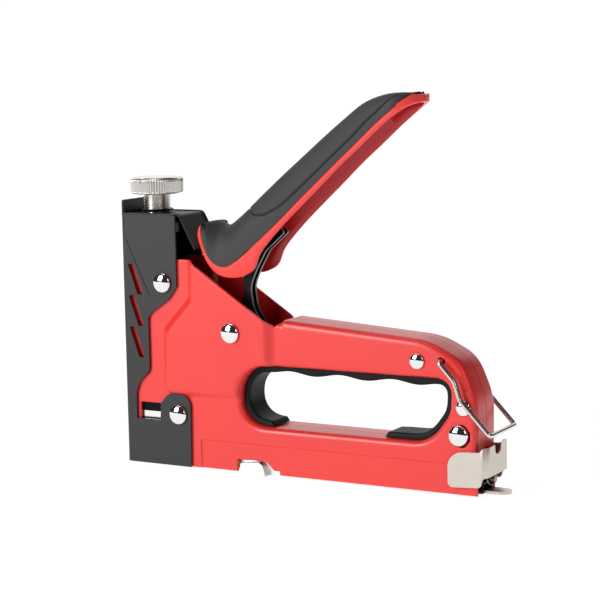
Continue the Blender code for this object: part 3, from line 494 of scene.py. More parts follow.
def strap_groups():
    """A flat strip carried along the strap's bent path: its section has round corners, and it
    narrows where it leaves the cover."""
    tangent = np.gradient(strap_path, axis=0)
    tangent /= np.linalg.norm(tangent, axis=1)[:, None]
    up = np.stack([-tangent[:, 1], tangent[:, 0]], 1)
    half = STRAP_TOP_HALF + (STRAP_SLOPE_HALF - STRAP_TOP_HALF) * smooth(strap_path[:, 0] - 26.3)
    corner = np.linspace(0, math.pi / 2, 5)
    away = (np.concatenate([np.cos(corner), np.cos(corner)[::-1]]) - 1) * STRAP_CORNER
    rise = STRAP_SHEET / 2 - STRAP_CORNER * (1 - np.sin(corner))
    rise = np.concatenate([rise, -rise[::-1]])[::-1]
    away = np.concatenate([away, -away])
    rise = np.concatenate([rise, rise[::-1]])
    edge = np.concatenate([np.ones(10), -np.ones(10)])
    flat = strap_path[:, None] + up[:, None] * rise[None, :, None]
    across = half[:, None] * edge[None] + away[None]
    points = np.stack([flat[..., 0], across, flat[..., 1]], -1)
    last = len(points) - 1
    return [(points.reshape(-1, 3), grid_faces(len(points), 20, ring_columns=True)),
            (points[0], [list(range(20))]), (points[last], [list(range(20))[::-1]])]


build("top_strap", strap_groups(), BLACK_COAT, "gun_body", ["top_bracket"], 60)

# ---- rivets ------------------------------------------------------------------------------------
# Round-headed steel rivets, nickel-chrome plated to a mirror.
CHROME_HEX = "#E9E9EA"


def plated(name, colour, roughness, wear):
    """Bright plating: mirror metal with a faint haze and fine tumbling marks about 0.5 mm apart."""
    material, shader, tree, where = surface(name, {"Base Color": linear(colour), "Metallic": 1.0})
    haze = node(tree, "ShaderNodeTexNoise", {}, {"Vector": where, "Scale": 2000.0, "Detail": 3.0})
    rough = node(tree, "ShaderNodeMapRange", {}, {"Value": haze.outputs["Fac"],
                                                  "To Min": max(0.02, roughness - wear / 2),
                                                  "To Max": roughness + wear})
    tree.links.new(rough.outputs["Result"], shader.inputs["Roughness"])
    bump = node(tree, "ShaderNodeBump", {}, {"Height": haze.outputs["Fac"], "Strength": 0.25 * wear,
                                             "Distance": 0.000005})
    tree.links.new(bump.outputs["Normal"], shader.inputs["Normal"])
    return material


def lathe(profile, centre, place):
    """A turned shape: the profile's (radius, level) pairs carried round an axis through the centre."""
    around = 64
    angle = np.linspace(0, 2 * math.pi, around, endpoint=False)
    radius, level = np.array(profile, float).T
    a = centre[0] + radius[:, None] * np.cos(angle)
    b = centre[1] + radius[:, None] * np.sin(angle)
    points = place(a.ravel(), b.ravel(), np.repeat(level, around))
    return points, grid_faces(len(radius), around, ring_columns=True)


def rivet_heads(seat, rise, radius, centre, sides):
    """Domed heads: a short rim, then a quarter of an ellipse up to a pole on the axis."""
    groups = []
    turn = np.linspace(0, math.pi / 2, 16)
    for side in sides:
        reach = radius * np.concatenate([[0.0, 0.5, 0.96, 1.0], np.cos(turn[1:])])
        height = np.concatenate([[0.0, 0.0, 0.0, 0.18], 0.18 + (rise - 0.18) * np.sin(turn[1:])])
        profile = np.stack([reach, side * (seat + height)], 1)
        groups.append(lathe(profile, centre, along_y))
    return groups


def centre_of(name):
    """Axis (x, z), seat and outer level in millimetres, worked out from a rivet's box."""
    low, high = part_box(name)
    x = ((low.x + high.x) / 2 - NOSE_FACE) / MM
    z = ((low.z + high.z) / 2 - SOLE) / MM
    return (x, z), (high.x - low.x) / 2 / MM, max(abs(low.y), abs(high.y)) / MM


# Shows the soft boxes and the floor as sharp bright and dark bands.
CHROME = plated("mirror chrome plate", CHROME_HEX, 0.05, 0.02)
for rivet, rise in (("pivot_rivet", 2.0), ("lower_cover_rivet", 2.0), ("rear_upper_rivet", 1.3),
                    ("rear_middle_rivet", 1.3), ("rear_lower_rivet", 2.0)):
    spot, head, top = centre_of(rivet)
    heads = rivet_heads(top - rise, rise, head, spot, (-1, 1))
    build(rivet + "_heads", heads, CHROME, "gun_body", [rivet])
for side, rivet in ((-1, "upper_cover_rivet_left"), (1, "upper_cover_rivet_right")):
    spot, head, top = centre_of(rivet)
    heads = rivet_heads(top - 2.0, 2.0, head, spot, (side,))
    build(rivet + "_head", heads, CHROME, "gun_body", [rivet])

# ---- hand hole lining --------------------------------------------------------------------------
# Moulded black plastic strip sprung into the hand hole, with finger waves along its top and a fine
# leather grain.  It stops short of meeting along the bottom.
LINING_HALF = 6.5
LINING_BLACK = "#0F0D0E"


def moulded(name, colour, roughness, grain, depth, sheen=0.5):
    """Moulded plastic or rubber with a pebbled grain of the given width in millimetres."""
    material, shader, tree, where = surface(name, {"Base Color": linear(colour), "Roughness": roughness,
                                                   "Specular IOR Level": sheen})
    cells = node(tree, "ShaderNodeTexVoronoi", {"feature": "SMOOTH_F1"}, {"Vector": where,
                                                                          "Scale": 1000.0 / grain})
    fine = node(tree, "ShaderNodeTexNoise", {}, {"Vector": where, "Scale": 3000.0 / grain, "Detail": 2.0})
    mixed = node(tree, "ShaderNodeMath", {"operation": "ADD"}, {0: cells.outputs["Distance"],
                                                                1: fine.outputs["Fac"]})
    bump = node(tree, "ShaderNodeBump", {}, {"Height": mixed.outputs["Value"], "Strength": depth,
                                             "Distance": 0.0001})
    tree.links.new(bump.outputs["Normal"], shader.inputs["Normal"])
    rough = node(tree, "ShaderNodeMapRange", {}, {"Value": fine.outputs["Fac"], "To Min": roughness - 0.08,
                                                  "To Max": roughness + 0.1})
    tree.links.new(rough.outputs["Result"], shader.inputs["Roughness"])
    return material


def lining_groups():
    """A strip carried round the hand hole: at each point a rounded bar between the hole's edge and
    a depth that swells with the finger waves, its corners arcs of 0.7 mm."""
    loop = outline(HAND_HOLE, 0.7)
    inward = mitres(loop)
    spread = np.hanning(15) / np.hanning(15).sum()
    inward = np.stack([np.convolve(np.concatenate([v[-7:], v, v[:7]]), spread, "valid")
                       for v in inward.T], 1)
    start = np.argmin(np.hypot(loop[:, 0] - 118.0, loop[:, 1] - 18.9))
    order = (np.arange(len(loop)) + start) % len(loop)
    loop, inward = loop[order], inward[order]
    stop = np.argmin(np.hypot(loop[:, 0] - 68.5, loop[:, 1] - 18.9)) + 1
    loop, inward = loop[:stop], inward[:stop]
    top = loop[:, 1] > 41.5
    phase = (loop[:, 0] - 75.6) / 22.6
    waved = top & (loop[:, 0] > 66) & (loop[:, 0] < 141)
    swell = np.where(waved, (1 - np.cos(2 * math.pi * phase)) / 2, 0.35)
    swell = np.convolve(np.pad(swell, 3, "edge"), np.ones(7) / 7, "valid")
    length = np.concatenate([[0], np.cumsum(np.linalg.norm(np.diff(loop, axis=0), axis=1))])
    near_end = np.minimum(length, length[-1] - length)
    taper = np.sqrt(1 - (1 - np.clip(near_end / 1.6, 0, 1)) ** 2) * 0.9 + 0.1
    depth = (1.7 + 1.5 * swell) * taper
    floor = loop + inward * (0.3 + depth)[:, None]
    spread = np.hanning(19) / np.hanning(19).sum()
    eased = np.stack([np.convolve(np.pad(v, 9, "edge"), spread, "valid") for v in floor.T], 1)
    ends = smooth(near_end / 6) * np.where(top & (loop[:, 0] > 72) & (loop[:, 0] < 136), 0, 1)
    ends = np.convolve(np.pad(ends, 4, "edge"), np.ones(9) / 9, "valid")[:, None]
    inward = floor + (eased - floor) * ends - loop
    depth = np.linalg.norm(inward, axis=1)
    inward /= depth[:, None]
    depth -= 0.3
    corner = np.linspace(0, math.pi / 2, 5)
    half, edge = LINING_HALF, 0.9
    y = np.concatenate([[half], half - edge * (1 - np.cos(corner)), np.linspace(half - edge, 0, 6)[1:]])
    share = np.concatenate([[0.0], 1 - edge * (1 - np.sin(corner)) / 1.6, np.ones(5)])
    y = np.concatenate([y, -y[-2::-1]])
    share = np.concatenate([share, share[-2::-1]])
    away = 0.3 + depth[:, None] * share[None]
    flat = loop[:, None] + inward[:, None] * away[..., None]
    points = np.stack([flat[..., 0], np.broadcast_to(y, away.shape), flat[..., 1]], -1)
    count = len(y)
    return [(points.reshape(-1, 3), grid_faces(len(loop), count, ring_columns=True)),
            (points[0], [list(range(count))]), (points[-1], [list(range(count))[::-1]])]


# A leather grain coarse enough to show, and little shine.
LINING = moulded("grained black polypropylene", LINING_BLACK, 0.5, 0.7, 0.35, 0.2)
build("hand_hole_lining", lining_groups(), LINING, "gun_body", ["grip_liner"], 60)

# ---- handle ------------------------------------------------------------------------------------
# A red powder-coated channel, open below, whose walls meet round the tip.  Over it is moulded a
# soft black grip, and a textured insert is let into the top of the grip inside a fine groove.
HANDLE_HALF = 10.5
HANDLE_WALL = 1.2
HANDLE_TIP = 134.0
TIP_ROUND = 10.5
HANDLE_RED = "#EE2E25"
GRIP_BLACK = "#2E2C2C"
INSERT_BLACK = "#353132"

# Matched places on the underside, on the line where red meets black, and on the top, nose to tip.
UNDERSIDE = np.array([
    (36.6, 97.4), (36.3, 94.2), (38.6, 88.5), (43.1, 82.2), (47.7, 79.2), (53.7, 78.7), (58.3, 79.7),
    (62.9, 82.6), (66.3, 89.5), (74.7, 98.8), (83.7, 107.3), (92.7, 115.5), (101.5, 123.7),
    (110.2, 131.1), (118.8, 138.6), (126.0, 144.2), (130.5, 146.9), (133.2, 147.8), (134.0, 148.0)])
RED_LINE = np.array([
    (38.7, 99.5), (38.4, 95.2), (40.3, 90.0), (43.4, 85.2), (47.2, 83.1), (50.8, 83.3), (54.0, 85.2),
    (57.6, 87.8), (62.5, 91.7), (72.9, 100.5), (82.2, 109.0), (91.1, 116.9), (99.9, 124.7),
    (108.7, 132.4), (117.2, 139.9), (125.6, 146.4), (129.4, 149.4), (131.2, 150.6), (134.0, 150.3)])
TOP_LINE = np.array([
    (38.8, 100.4), (41.1, 100.3), (44.0, 99.2), (46.3, 98.9), (48.8, 99.9), (51.5, 101.8),
    (54.3, 103.8), (57.1, 106.0), (59.8, 108.3), (64.6, 112.5), (73.4, 119.9), (82.5, 127.3),
    (91.5, 134.6), (100.5, 141.6), (109.5, 147.9), (118.6, 150.9), (126.0, 151.3), (131.2, 150.75),
    (134.0, 150.4)])
# How far up from the red line to the top the groove runs, by place along the handle.
GROOVE_AT = np.array([(7.0, 1.0), (7.35, 0.97), (8.0, 0.86), (8.4, 0.62), (8.9, 0.40), (9.5, 0.27),
                      (10.2, 0.23), (13.0, 0.23), (14.3, 0.30), (15.2, 0.52), (16.1, 0.80), (16.8, 1.0)])


def along(table, place):
    """A smooth curve through the rows of a table, read at fractional row numbers: on each run the
    cubic whose ends follow the neighbouring rows' slope."""
    last = len(table) - 1
    row = np.clip(np.floor(place).astype(int), 0, last - 1)
    part = (place - row)[:, None]
    before, a = table[np.maximum(row - 1, 0)], table[row]
    b, after = table[row + 1], table[np.minimum(row + 2, last)]
    bend_a, bend_b = (b - before) / 2, (after - a) / 2
    return ((2 * part**3 - 3 * part**2 + 1) * a + (part**3 - 2 * part**2 + part) * bend_a
            + (3 * part**2 - 2 * part**3) * b + (part**3 - part**2) * bend_b)


def plan_width(x, tip, radius):
    """Share of the full width left at x: the plan of the handle ends in a half circle at the tip,
    and its corners are eased off at the nose."""
    past = np.clip((x - (tip - radius)) / radius, 0, 1)
    return np.sqrt(1 - past**2) * (1 - 0.14 * smooth((41.5 - x) / 5.0))


def handle_stations():
    """Fractional row numbers, crowded together where the tip and the groove's front end curve."""
    runs = [np.linspace(0, 7, 50), np.linspace(7, 9.6, 70), np.linspace(9.6, 14, 60), np.linspace(14, 17, 60)]
    return np.unique(np.concatenate([*runs, 18 - np.geomspace(1, 1e-3, 40), [18.0]]))


def red_channel():
    """The channel's closed section carried along the handle.  Outside it climbs the wall, steps in
    under the grip and rounds over to the roof; inside it comes back one wall's thickness away."""
    place = handle_stations()
    low, line, top = along(UNDERSIDE, place), along(RED_LINE, place), along(TOP_LINE, place)
    whole = np.linalg.norm(top - low, axis=1)
    rise = np.linalg.norm(line - low, axis=1) / whole
    roof = np.minimum(np.maximum(0.52, rise + 0.1), 1.0)
    full, wall = HANDLE_HALF, HANDLE_WALL
    soft = 0.45 / whole
    outer = [(0 * rise, full - 0.45), (0.3 * soft, full - 0.13), (soft, full), (rise * 0.6, full),
             (rise + 0.02, full), (rise + 0.04, full - 0.9), (roof - 0.16, full - 0.9),
             (roof - 0.05, full - 1.9), (roof, full - 4.0), (roof, full - 7.0), (roof, 0.0)]
    under = wall / whole
    inner = [(roof - under, 0.0), (roof - under, full - 7.2), (roof - under, full - 4.6),
             (roof - under - 0.05, full - 2.9), (roof - 0.2, full - 0.9 - wall),
             (rise * 0.7, full - 0.9 - wall), (soft * 1.3, full - wall - 0.4), (0.2 * soft, full - wall)]
    rows = outer + inner
    share = np.minimum(np.stack([np.broadcast_to(r[0], len(place)) for r in rows], 1), 1.0)
    width = np.array([r[1] for r in rows])
    flat = low[:, None] + (top - low)[:, None] * share[..., None]
    shrunk = plan_width(flat[..., 0], HANDLE_TIP, TIP_ROUND)
    deep = np.arange(len(rows)) >= len(outer)
    inset_tip = plan_width(flat[..., 0], HANDLE_TIP - 2.2, TIP_ROUND - 1.2)
    shrunk = np.where(deep[None], inset_tip, shrunk)
    points = np.stack([flat[..., 0], -width * shrunk, flat[..., 1]], -1)
    mirrored = points[:, ::-1] * (1, -1, 1)
    count = len(rows)
    foot = np.stack([points[:, -1], points[:, 0]], 1)
    groups = [(half.reshape(-1, 3), grid_faces(len(place), count)) for half in (points, mirrored)]
    groups += [((foot * (1, side, 1)).reshape(-1, 3), grid_faces(len(place), 2)) for side in (1, -1)]
    groups += [(points[0] * (1, side, 1), [list(range(count))]) for side in (1, -1)]
    return groups


# The channel's inner faces take the darker red as painted shade.
HANDLE_COAT = powder_coat("red powder coat on the handle", HANDLE_RED, SHADED_INSIDE_RED, 0.42, 0.12, 0.3)
build("handle_channel", red_channel(), HANDLE_COAT, "handle", ["handle_shell"], sharp=45)

SKIN = HANDLE_HALF + 0.4
GRIP_WALL = 1.0
GRIP_TIP = 131.8
GRIP_ROUND = 9.0
GROOVE_END = 16.8
GRIP_END = 17.2


def arch_power(place):
    """1 at the nose, where the arch is an ellipse, falling to 0.74, a rounded square, by row 8."""
    return 1.0 - 0.26 * smooth((place - 3.0) / 5.0)


def grip_surface(place, angle):
    """The grip's outside: an arch from the red line over the top.  At an angle from the top, the
    width is sin and the height cos, each to the arch's power, and the plan narrows to the tip."""
    line, top = along(RED_LINE, place), along(TOP_LINE, place)
    power = arch_power(place)[:, None]
    wide = np.sign(angle) * np.abs(np.sin(angle)) ** power
    high = np.abs(np.cos(angle)) ** power
    flat = line[:, None] + (top - line)[:, None] * high[..., None]
    return np.stack([flat[..., 0], SKIN * wide * plan_width(flat[..., 0], GRIP_TIP, GRIP_ROUND),
                     flat[..., 1]], -1)


def groove_angle(place):
    """Angle from the top at which the groove runs at each place."""
    share = np.interp(place, GROOVE_AT[:, 0], GROOVE_AT[:, 1])
    return np.arccos(np.clip(share, 0, 1) ** (1 / arch_power(place)))


def sink_groove(points):
    """Press the surface in by 0.7 mm along the groove, fading over half a millimetre."""
    run = np.linspace(7.0, GROOVE_END, 700)
    edge = groove_angle(run)[:, None]
    curve = np.vstack([grip_surface(run, edge)[:, 0], grip_surface(run, -edge)[:, 0]])
    shape = points.shape
    by_row, by_column = np.gradient(points, axis=0), np.gradient(points, axis=1)
    out = np.cross(by_row, by_column)
    out /= np.linalg.norm(out, axis=2)[..., None] + 1e-12
    out = np.where(out[..., 2:] < 0, -out, out)
    flat = points.reshape(-1, 3)
    near = np.full(len(flat), np.inf)
    for chunk in np.array_split(curve, 28):
        near = np.minimum(near, np.linalg.norm(flat[:, None] - chunk[None], axis=2).min(1))
    sunk = 0.7 * np.exp(-(near / 0.38) ** 2)
    return (flat - out.reshape(-1, 3) * sunk[:, None]).reshape(shape)


def thicken(piece, amount):
    """Give a moulded skin its thickness inwards."""
    wall = piece.modifiers.new("wall", "SOLIDIFY")
    wall.thickness, wall.offset, wall.use_even_offset = amount * MM, -1, False


def grip_groups():
    """The grip's two sides, each from the red line up to the groove, or to the top where there is
    no groove, with a short lip turned in along the red line."""
    place = handle_stations()
    place = np.append(place[place < GRIP_END], GRIP_END)
    edge = groove_angle(place)
    edge = np.where((place < 7) | (place > GROOVE_END), 0, edge)
    share = 1 - (1 - np.linspace(0, 1, 40)) ** 1.8
    angle = math.pi / 2 + (edge[:, None] - math.pi / 2) * share[None]
    left, right = grip_surface(place, -angle), grip_surface(place, angle)
    left, right = sink_groove(left), sink_groove(right)
    left, right = [np.concatenate([half[:, :1] * (1, 0.93, 1), half], 1) for half in (left, right)]
    faces = grid_faces(len(place), left.shape[1])
    return [(left.reshape(-1, 3), faces[:, ::-1]), (right.reshape(-1, 3), faces)]


def insert_groups():
    """The insert: the grip's surface from the groove on one side over the top to the other."""
    place = np.unique(np.concatenate([7 + 2.6 * np.linspace(0, 1, 90) ** 1.6, np.linspace(9.6, 14.5, 60),
                                      np.linspace(14.5, GROOVE_END, 70)]))
    edge = groove_angle(place)
    share = np.sin(np.linspace(-1, 1, 71) * math.pi / 2)
    points = sink_groove(grip_surface(place, edge[:, None] * share[None]))
    return [(points.reshape(-1, 3), grid_faces(*points.shape[:2]))]


# Almost matt, with a bloom too fine to make out; the insert beside it is pebbled.
SOFT_GRIP = moulded("soft-touch rubber grip", GRIP_BLACK, 0.62, 0.5, 0.05)
PEBBLED = moulded("pebbled rubber insert", INSERT_BLACK, 0.68, 0.8, 0.6)
cover = build("handle_cover", grip_groups(), SOFT_GRIP, "handle", ["handle_grip"], 50)
thicken(cover, GRIP_WALL)
insert = build("handle_insert", insert_groups(), PEBBLED, "handle", ["grip_insert"], 50)
thicken(insert, GRIP_WALL)

# ---- tension knob and screw --------------------------------------------------------------------
# A straight-knurled knob turned from steel and nickel plated, on a coarse-threaded screw.
KNOB_FOOT = 110.9
KNOB_RADIUS = 10.9
SCREW_AXIS = 11.7
THREAD_PITCH = 1.0
RIBS = 64
NICKEL_HEX = "#DDD8D3"


def knob_groups():
    """Profile of the knob carried round its axis.  On the rim the radius dips to a groove RIBS times
    a turn, and three nicks are cut in the rim's upper edge."""
    rim = KNOB_RADIUS
    profile = np.array([(0, 0), (5.0, 0), (5.2, -0.01), (9.7, 0), (10.4, 0.15), (10.75, 0.45), (rim, 0.9),
                        (rim, 2.0), (rim, 3.8), (rim, 5.3), (10.75, 5.85), (10.35, 6.3), (9.6, 6.68),
                        (8.6, 6.86), (5.0, 6.95), (0, 7.0)])
    level = np.interp(np.linspace(0, len(profile) - 1, 91), np.arange(len(profile)), profile[:, 1])
    radius = np.interp(np.linspace(0, len(profile) - 1, 91), np.arange(len(profile)), profile[:, 0])
    angle = np.linspace(0, 2 * math.pi, RIBS * 9, endpoint=False)
    rib = np.abs(np.cos(RIBS / 2 * angle)) ** 3
    on_rim = smooth((radius - 10.4) / 0.4) * smooth((level - 0.4) / 0.5) * smooth((6.1 - level) / 0.5)
    nick = np.exp(-(((angle[None] * 3 / (2 * math.pi) + 0.28) % 1 - 0.5) / 0.03) ** 2)
    nick = nick * smooth((radius[:, None] - 9.2) / 0.8) * smooth((level[:, None] - 4.9) / 0.5)
    reach = radius[:, None] - 0.4 * on_rim[:, None] * rib[None] - 0.7 * nick
    points = np.stack([SCREW_AXIS + reach * np.cos(angle), reach * np.sin(angle),
                       np.broadcast_to(KNOB_FOOT + level[:, None], reach.shape)], -1)
    return [(points.reshape(-1, 3), grid_faces(len(radius), len(angle), ring_columns=True))]


def screw_groups():
    """A thread: the radius follows a rounded tooth whose phase climbs one pitch a turn."""
    angle = np.linspace(0, 2 * math.pi, 72, endpoint=False)
    level = np.linspace(99.2, KNOB_FOOT - 0.1, 190)
    phase = (level[:, None] / THREAD_PITCH - angle[None] / (2 * math.pi)) % 1
    tooth = np.abs(phase - 0.5) * 2
    ends = smooth((level - 99.2) / 0.8)
    reach = 5.1 + 0.58 * smooth(tooth * 1.2) * ends[:, None]
    points = np.stack([SCREW_AXIS + reach * np.cos(angle), reach * np.sin(angle),
                       np.broadcast_to(level[:, None], reach.shape)], -1)
    cap = len(angle)
    return [(points.reshape(-1, 3), grid_faces(len(level), cap, ring_columns=True)),
            (points[0], [list(range(cap))[::-1]]), (points[-1], [list(range(cap))])]


# A soft metallic sheen, with thin dark lines where the knurl and the thread turn away.
NICKEL = plated("satin nickel plate", NICKEL_HEX, 0.2, 0.04)
build("knurled_knob", knob_groups(), NICKEL, "knob", ["adjusting_knob"], sharp=50)
build("threaded_screw", screw_groups(), NICKEL, "knob", ["tension_screw"], sharp=60)

# ---- springs -----------------------------------------------------------------------------------
# Round spring-steel wire, oil-tempered.  The main spring is squeezed as the plunger rises, the long
# thin one as the follower is drawn back.
STEEL_HEX = "#8E8D8C"


def tube(path, radius, around=12):
    """A round wire along a path: a circle in the plane square to the path, turned as little as
    possible from one point to the next."""
    tangent = np.gradient(path, axis=0)
    tangent /= np.linalg.norm(tangent, axis=1)[:, None]
    side = np.empty_like(path)
    first = np.cross(tangent[0], (0.3, 1.0, 0.2))
    side[0] = first / np.linalg.norm(first)
    for i in range(1, len(path)):
        carried = side[i - 1] - tangent[i] * (side[i - 1] @ tangent[i])
        side[i] = carried / np.linalg.norm(carried)
    other = np.cross(tangent, side)
    angle = np.linspace(0, 2 * math.pi, around, endpoint=False)
    points = path[:, None] + radius * (side[:, None] * np.cos(angle)[None, :, None]
                                       + other[:, None] * np.sin(angle)[None, :, None])
    return [(points.reshape(-1, 3), grid_faces(len(path), around, ring_columns=True)),
            (points[0], [list(range(around))[::-1]]), (points[-1], [list(range(around))])]


def coil_path(start, length, radius, turns, axis):
    """A helix whose end turns lie close together."""
    part = np.linspace(0, 1, turns * 22)
    climb = part - 0.5 / (2 * math.pi * 1.4) * np.sin(2 * math.pi * part)
    angle = 2 * math.pi * turns * part
    a, b = radius * np.cos(angle), radius * np.sin(angle)
    if axis == "z":
        return np.stack([start[0] + a, start[1] + b, start[2] + climb * length], 1)
    return np.stack([start[0] + climb * length, start[1] + a, start[2] + b], 1)


def bare_steel(name, colour, roughness, stretch):
    """Bare or oiled steel with fine marks drawn along one direction, about 0.2 mm apart."""
    material, shader, tree, where = surface(name, {"Metallic": 1.0})
    drawn = node(tree, "ShaderNodeMapping", {}, {"Vector": where, "Scale": stretch})
    marks = node(tree, "ShaderNodeTexNoise", {}, {"Vector": drawn.outputs["Vector"], "Scale": 1.0,
                                                  "Detail": 3.0})
    ramp = node(tree, "ShaderNodeMapRange", {}, {"Value": marks.outputs["Fac"], "To Min": roughness - 0.08,
                                                 "To Max": roughness + 0.12})
    tree.links.new(ramp.outputs["Result"], shader.inputs["Roughness"])
    tone = node(tree, "ShaderNodeMix", {"data_type": "RGBA", "blend_type": "MULTIPLY"},
                {0: 1.0, 6: linear(colour)})
    shift = node(tree, "ShaderNodeMapRange", {}, {"Value": marks.outputs["Fac"], "To Min": 0.85,
                                                  "To Max": 1.1})
    tree.links.new(shift.outputs["Result"], tone.inputs[7])
    tree.links.new(tone.outputs[2], shader.inputs["Base Color"])
    bump = node(tree, "ShaderNodeBump", {}, {"Height": marks.outputs["Fac"], "Strength": 0.1,
                                             "Distance": 0.00002})
    tree.links.new(bump.outputs["Normal"], shader.inputs["Normal"])
    return material


# Dark grey with a dull oily shine.
SPRING_STEEL = bare_steel("oil-tempered spring steel", STEEL_HEX, 0.34, (900, 900, 900))
low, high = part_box("main_spring")
foot = (low.z - SOLE) / MM
main_length = (high.z - low.z) / MM
# The coil stops short of the plunger by the seat's travel, so that the seat can be screwed down.
slack = -next(j for j in frame["joints"] if j["name"] == "seat_travel")["range_m"][0] / MM
path = coil_path((SCREW_AXIS, 0, foot + slack + 0.9), main_length - slack - 1.8, 5.1, 9, "z")
main_coil = build("main_coil", tube(path, 0.9), SPRING_STEEL, "seat", ["main_spring"], sharp=60)
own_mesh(main_coil)
low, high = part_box("follower_spring")
coil_x = (low.x - NOSE_FACE) / MM
coil_radius = (high.y - low.y) / 2 / MM - 0.4
coil_z = ((low.z + high.z) / 2 - SOLE) / MM
path = coil_path((coil_x + 0.4, 0, coil_z), (high.x - low.x) / MM - 0.8, coil_radius, 26, "x")
coil = tube(path, 0.4, 8)
long_coil = build("follower_coil", coil, SPRING_STEEL, "magazine", ["follower_spring"], 60)
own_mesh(long_coil)

# ---- bail --------------------------------------------------------------------------------------
# A 1.9 mm bright-plated wire bent to a loop, hooked into an eye in each shell.
BAIL_X, BAIL_Z = 143.2, 50.9
WIRE = 0.95


def bail_path():
    """Corners of one leg and its mirror, joined by straight runs.  Each point is then the weighted
    mean of the 3 mm of wire round it, which rounds the bends."""
    half = 12.1
    leg = np.array([(0, -7.6, 0), (0, -11.6, 0), (0.5, -half, -0.5), (6.2, -half, -6.6), (7.3, -half, -9.2),
                    (8.7, -half, -13.8), (20.6, -half, -26.3), (21.0, -11.6, -26.5), (21.0, 0, -26.5)])
    leg += (BAIL_X, 0, BAIL_Z)
    corners = np.vstack([leg, (leg * (1, -1, 1))[-2::-1]])
    length = np.concatenate([[0], np.cumsum(np.linalg.norm(np.diff(corners, axis=0), axis=1))])
    even = np.linspace(0, length[-1], 520)
    path = np.stack([np.interp(even, length, axis) for axis in corners.T], 1)
    spread = np.hanning(15) / np.hanning(15).sum()
    return np.stack([np.convolve(np.pad(axis, 7, "edge"), spread, "valid") for axis in path.T], 1)


# Brighter than the knob, with one light line along the wire.
WIRE_PLATE = plated("bright nickel plate on wire", "#DEDAD6", 0.2, 0.04)
build("bail_wire", tube(bail_path(), WIRE, 14), WIRE_PLATE, "bail", ["wire_bail"], sharp=60)

# ---- magazine latch and tongue -----------------------------------------------------------------
# The magazine's end plate, folded from 0.8 mm sheet so that its wings clip over the shells, and the
# tongue that is pulled to slide it out.
LATCH_HALF = 10.5
LATCH_BACK = 162.3
LATCH_HEX = "#D3CBC1"
latch_section = folded_section(16.3, LATCH_HALF, 2.6, 0.8)
latch_section[:, 0] = LATCH_BACK - latch_section[:, 0]
latch_bar = solid("latch_bar", latch_section[::-1], 1.0, 20.0, along_z)
latch_side = outline([(145.9, 3.0, 2.2), (159.2, 3.8, 1.5), (160.4, 7.4, 1), (LATCH_BACK + 0.5, 7.8),
                      (LATCH_BACK + 0.5, 19.2), (160.4, 18.9, 0.8), (159.0, 17.3, 1.2),
                      (145.9, 16.6, 6.5)], 30)
notch = outline([(-3.2, 20.9, 0.3), (-2.6, 15.2, 2.2), (2.6, 15.2, 2.2), (3.2, 20.9, 0.3)], 30)


# Warm pale grey, brushed along the sheet's rolling direction.
SHEET_STEEL = bare_steel("bright zinc-plated sheet", LATCH_HEX, 0.36, (220, 900, 4000))
bent_sheet("latch_plate", latch_bar, solid("latch_kept", latch_side, -20, 20, along_y),
           [solid("latch_notch", notch, 158, 170, along_x)], SHEET_STEEL, "magazine",
           ["magazine_latch"], 0.16)

# ---- carried-over parts ------------------------------------------------------------------------
# Pieces whose plain shape is right keep it: guides, levers, plunger, channel and magazine parts.
LEVER_HEX = "#101010"


def oxide_plate(name, colour):
    """Black-oxide steel plate with pale edges: the faces that look across the gun stay black, and the
    narrow cut edges take a pale grey that is partly bare sheared metal and partly a painted highlight."""
    material, shader, tree, where = surface(name, {"Metallic": 0.6, "Roughness": 0.4})
    facing = node(tree, "ShaderNodeNewGeometry", {}, {}).outputs["Normal"]
    parts = node(tree, "ShaderNodeSeparateXYZ", {}, {"Vector": facing})
    flat = node(tree, "ShaderNodeMath", {"operation": "ABSOLUTE"}, {0: parts.outputs["Y"]})
    black = node(tree, "ShaderNodeMapRange", {}, {"Value": flat.outputs["Value"], "From Min": 0.4,
                                                  "From Max": 0.6})
    grain = node(tree, "ShaderNodeTexNoise", {}, {"Vector": where, "Scale": 1500.0, "Detail": 2.0})
    # Partly painted highlight: the pale grey on the cut edges also stands for the light they catch.
    edge = node(tree, "ShaderNodeMix", {"data_type": "RGBA"}, {0: black.outputs["Result"],
                                                              6: linear("#77746F"), 7: linear(colour)})
    tree.links.new(edge.outputs[2], shader.inputs["Base Color"])
    rough = node(tree, "ShaderNodeMapRange", {}, {"Value": grain.outputs["Fac"], "To Min": 0.3,
                                                  "To Max": 0.5})
    tree.links.new(rough.outputs["Result"], shader.inputs["Roughness"])
    return material


# Near black, or pale on the cut edges, partly bare metal and partly painted highlight; the guides and tools
# below it range from black to bright.
OXIDE = oxide_plate("black-oxide steel plate", LEVER_HEX)
BLACKENED = bare_steel("blackened steel", "#1C1B1B", 0.38, (900, 900, 300))
BRIGHT = plated("bright nickel guide", "#F0EEEC", 0.16, 0.06)
ZINC = bare_steel("bright zinc plate", "#F6F7F8", 0.38, (1200, 1200, 1200))
TOOL_STEEL = bare_steel("ground tool steel", STEEL_HEX, 0.3, (200, 200, 2500))
RUBBER = moulded("black nitrile rubber", "#131313", 0.8, 0.6, 0.2)
FINISHES = {
    "lever_plate_left": OXIDE, "lever_plate_right": OXIDE, "plunger_guide": BLACKENED, "nose_guide": BRIGHT,
    "stop_bumper": RUBBER, "screw_collar": BLACKENED, "grip_screw_front": CHROME, "grip_screw_rear": CHROME,
    "lever_spacer": TOOL_STEEL, "lifting_pin": TOOL_STEEL, "plunger": TOOL_STEEL, "driver_blade": TOOL_STEEL,
    "spring_seat": TOOL_STEEL, "magazine_channel": ZINC, "staple_rail": BLACKENED, "guide_rod": TOOL_STEEL,
    "staple_follower": LINING, "pull_tongue": SHEET_STEEL,
}
for part_name, finish in FINISHES.items():
    carried = frame["nodes"][part_name]
    for holder in carried.material_slots:
        holder.material = finish

# ---- studio ------------------------------------------------------------------------------------
# A white sweep, two large soft boxes, a strip from the right and a camera at the gun's left rear.


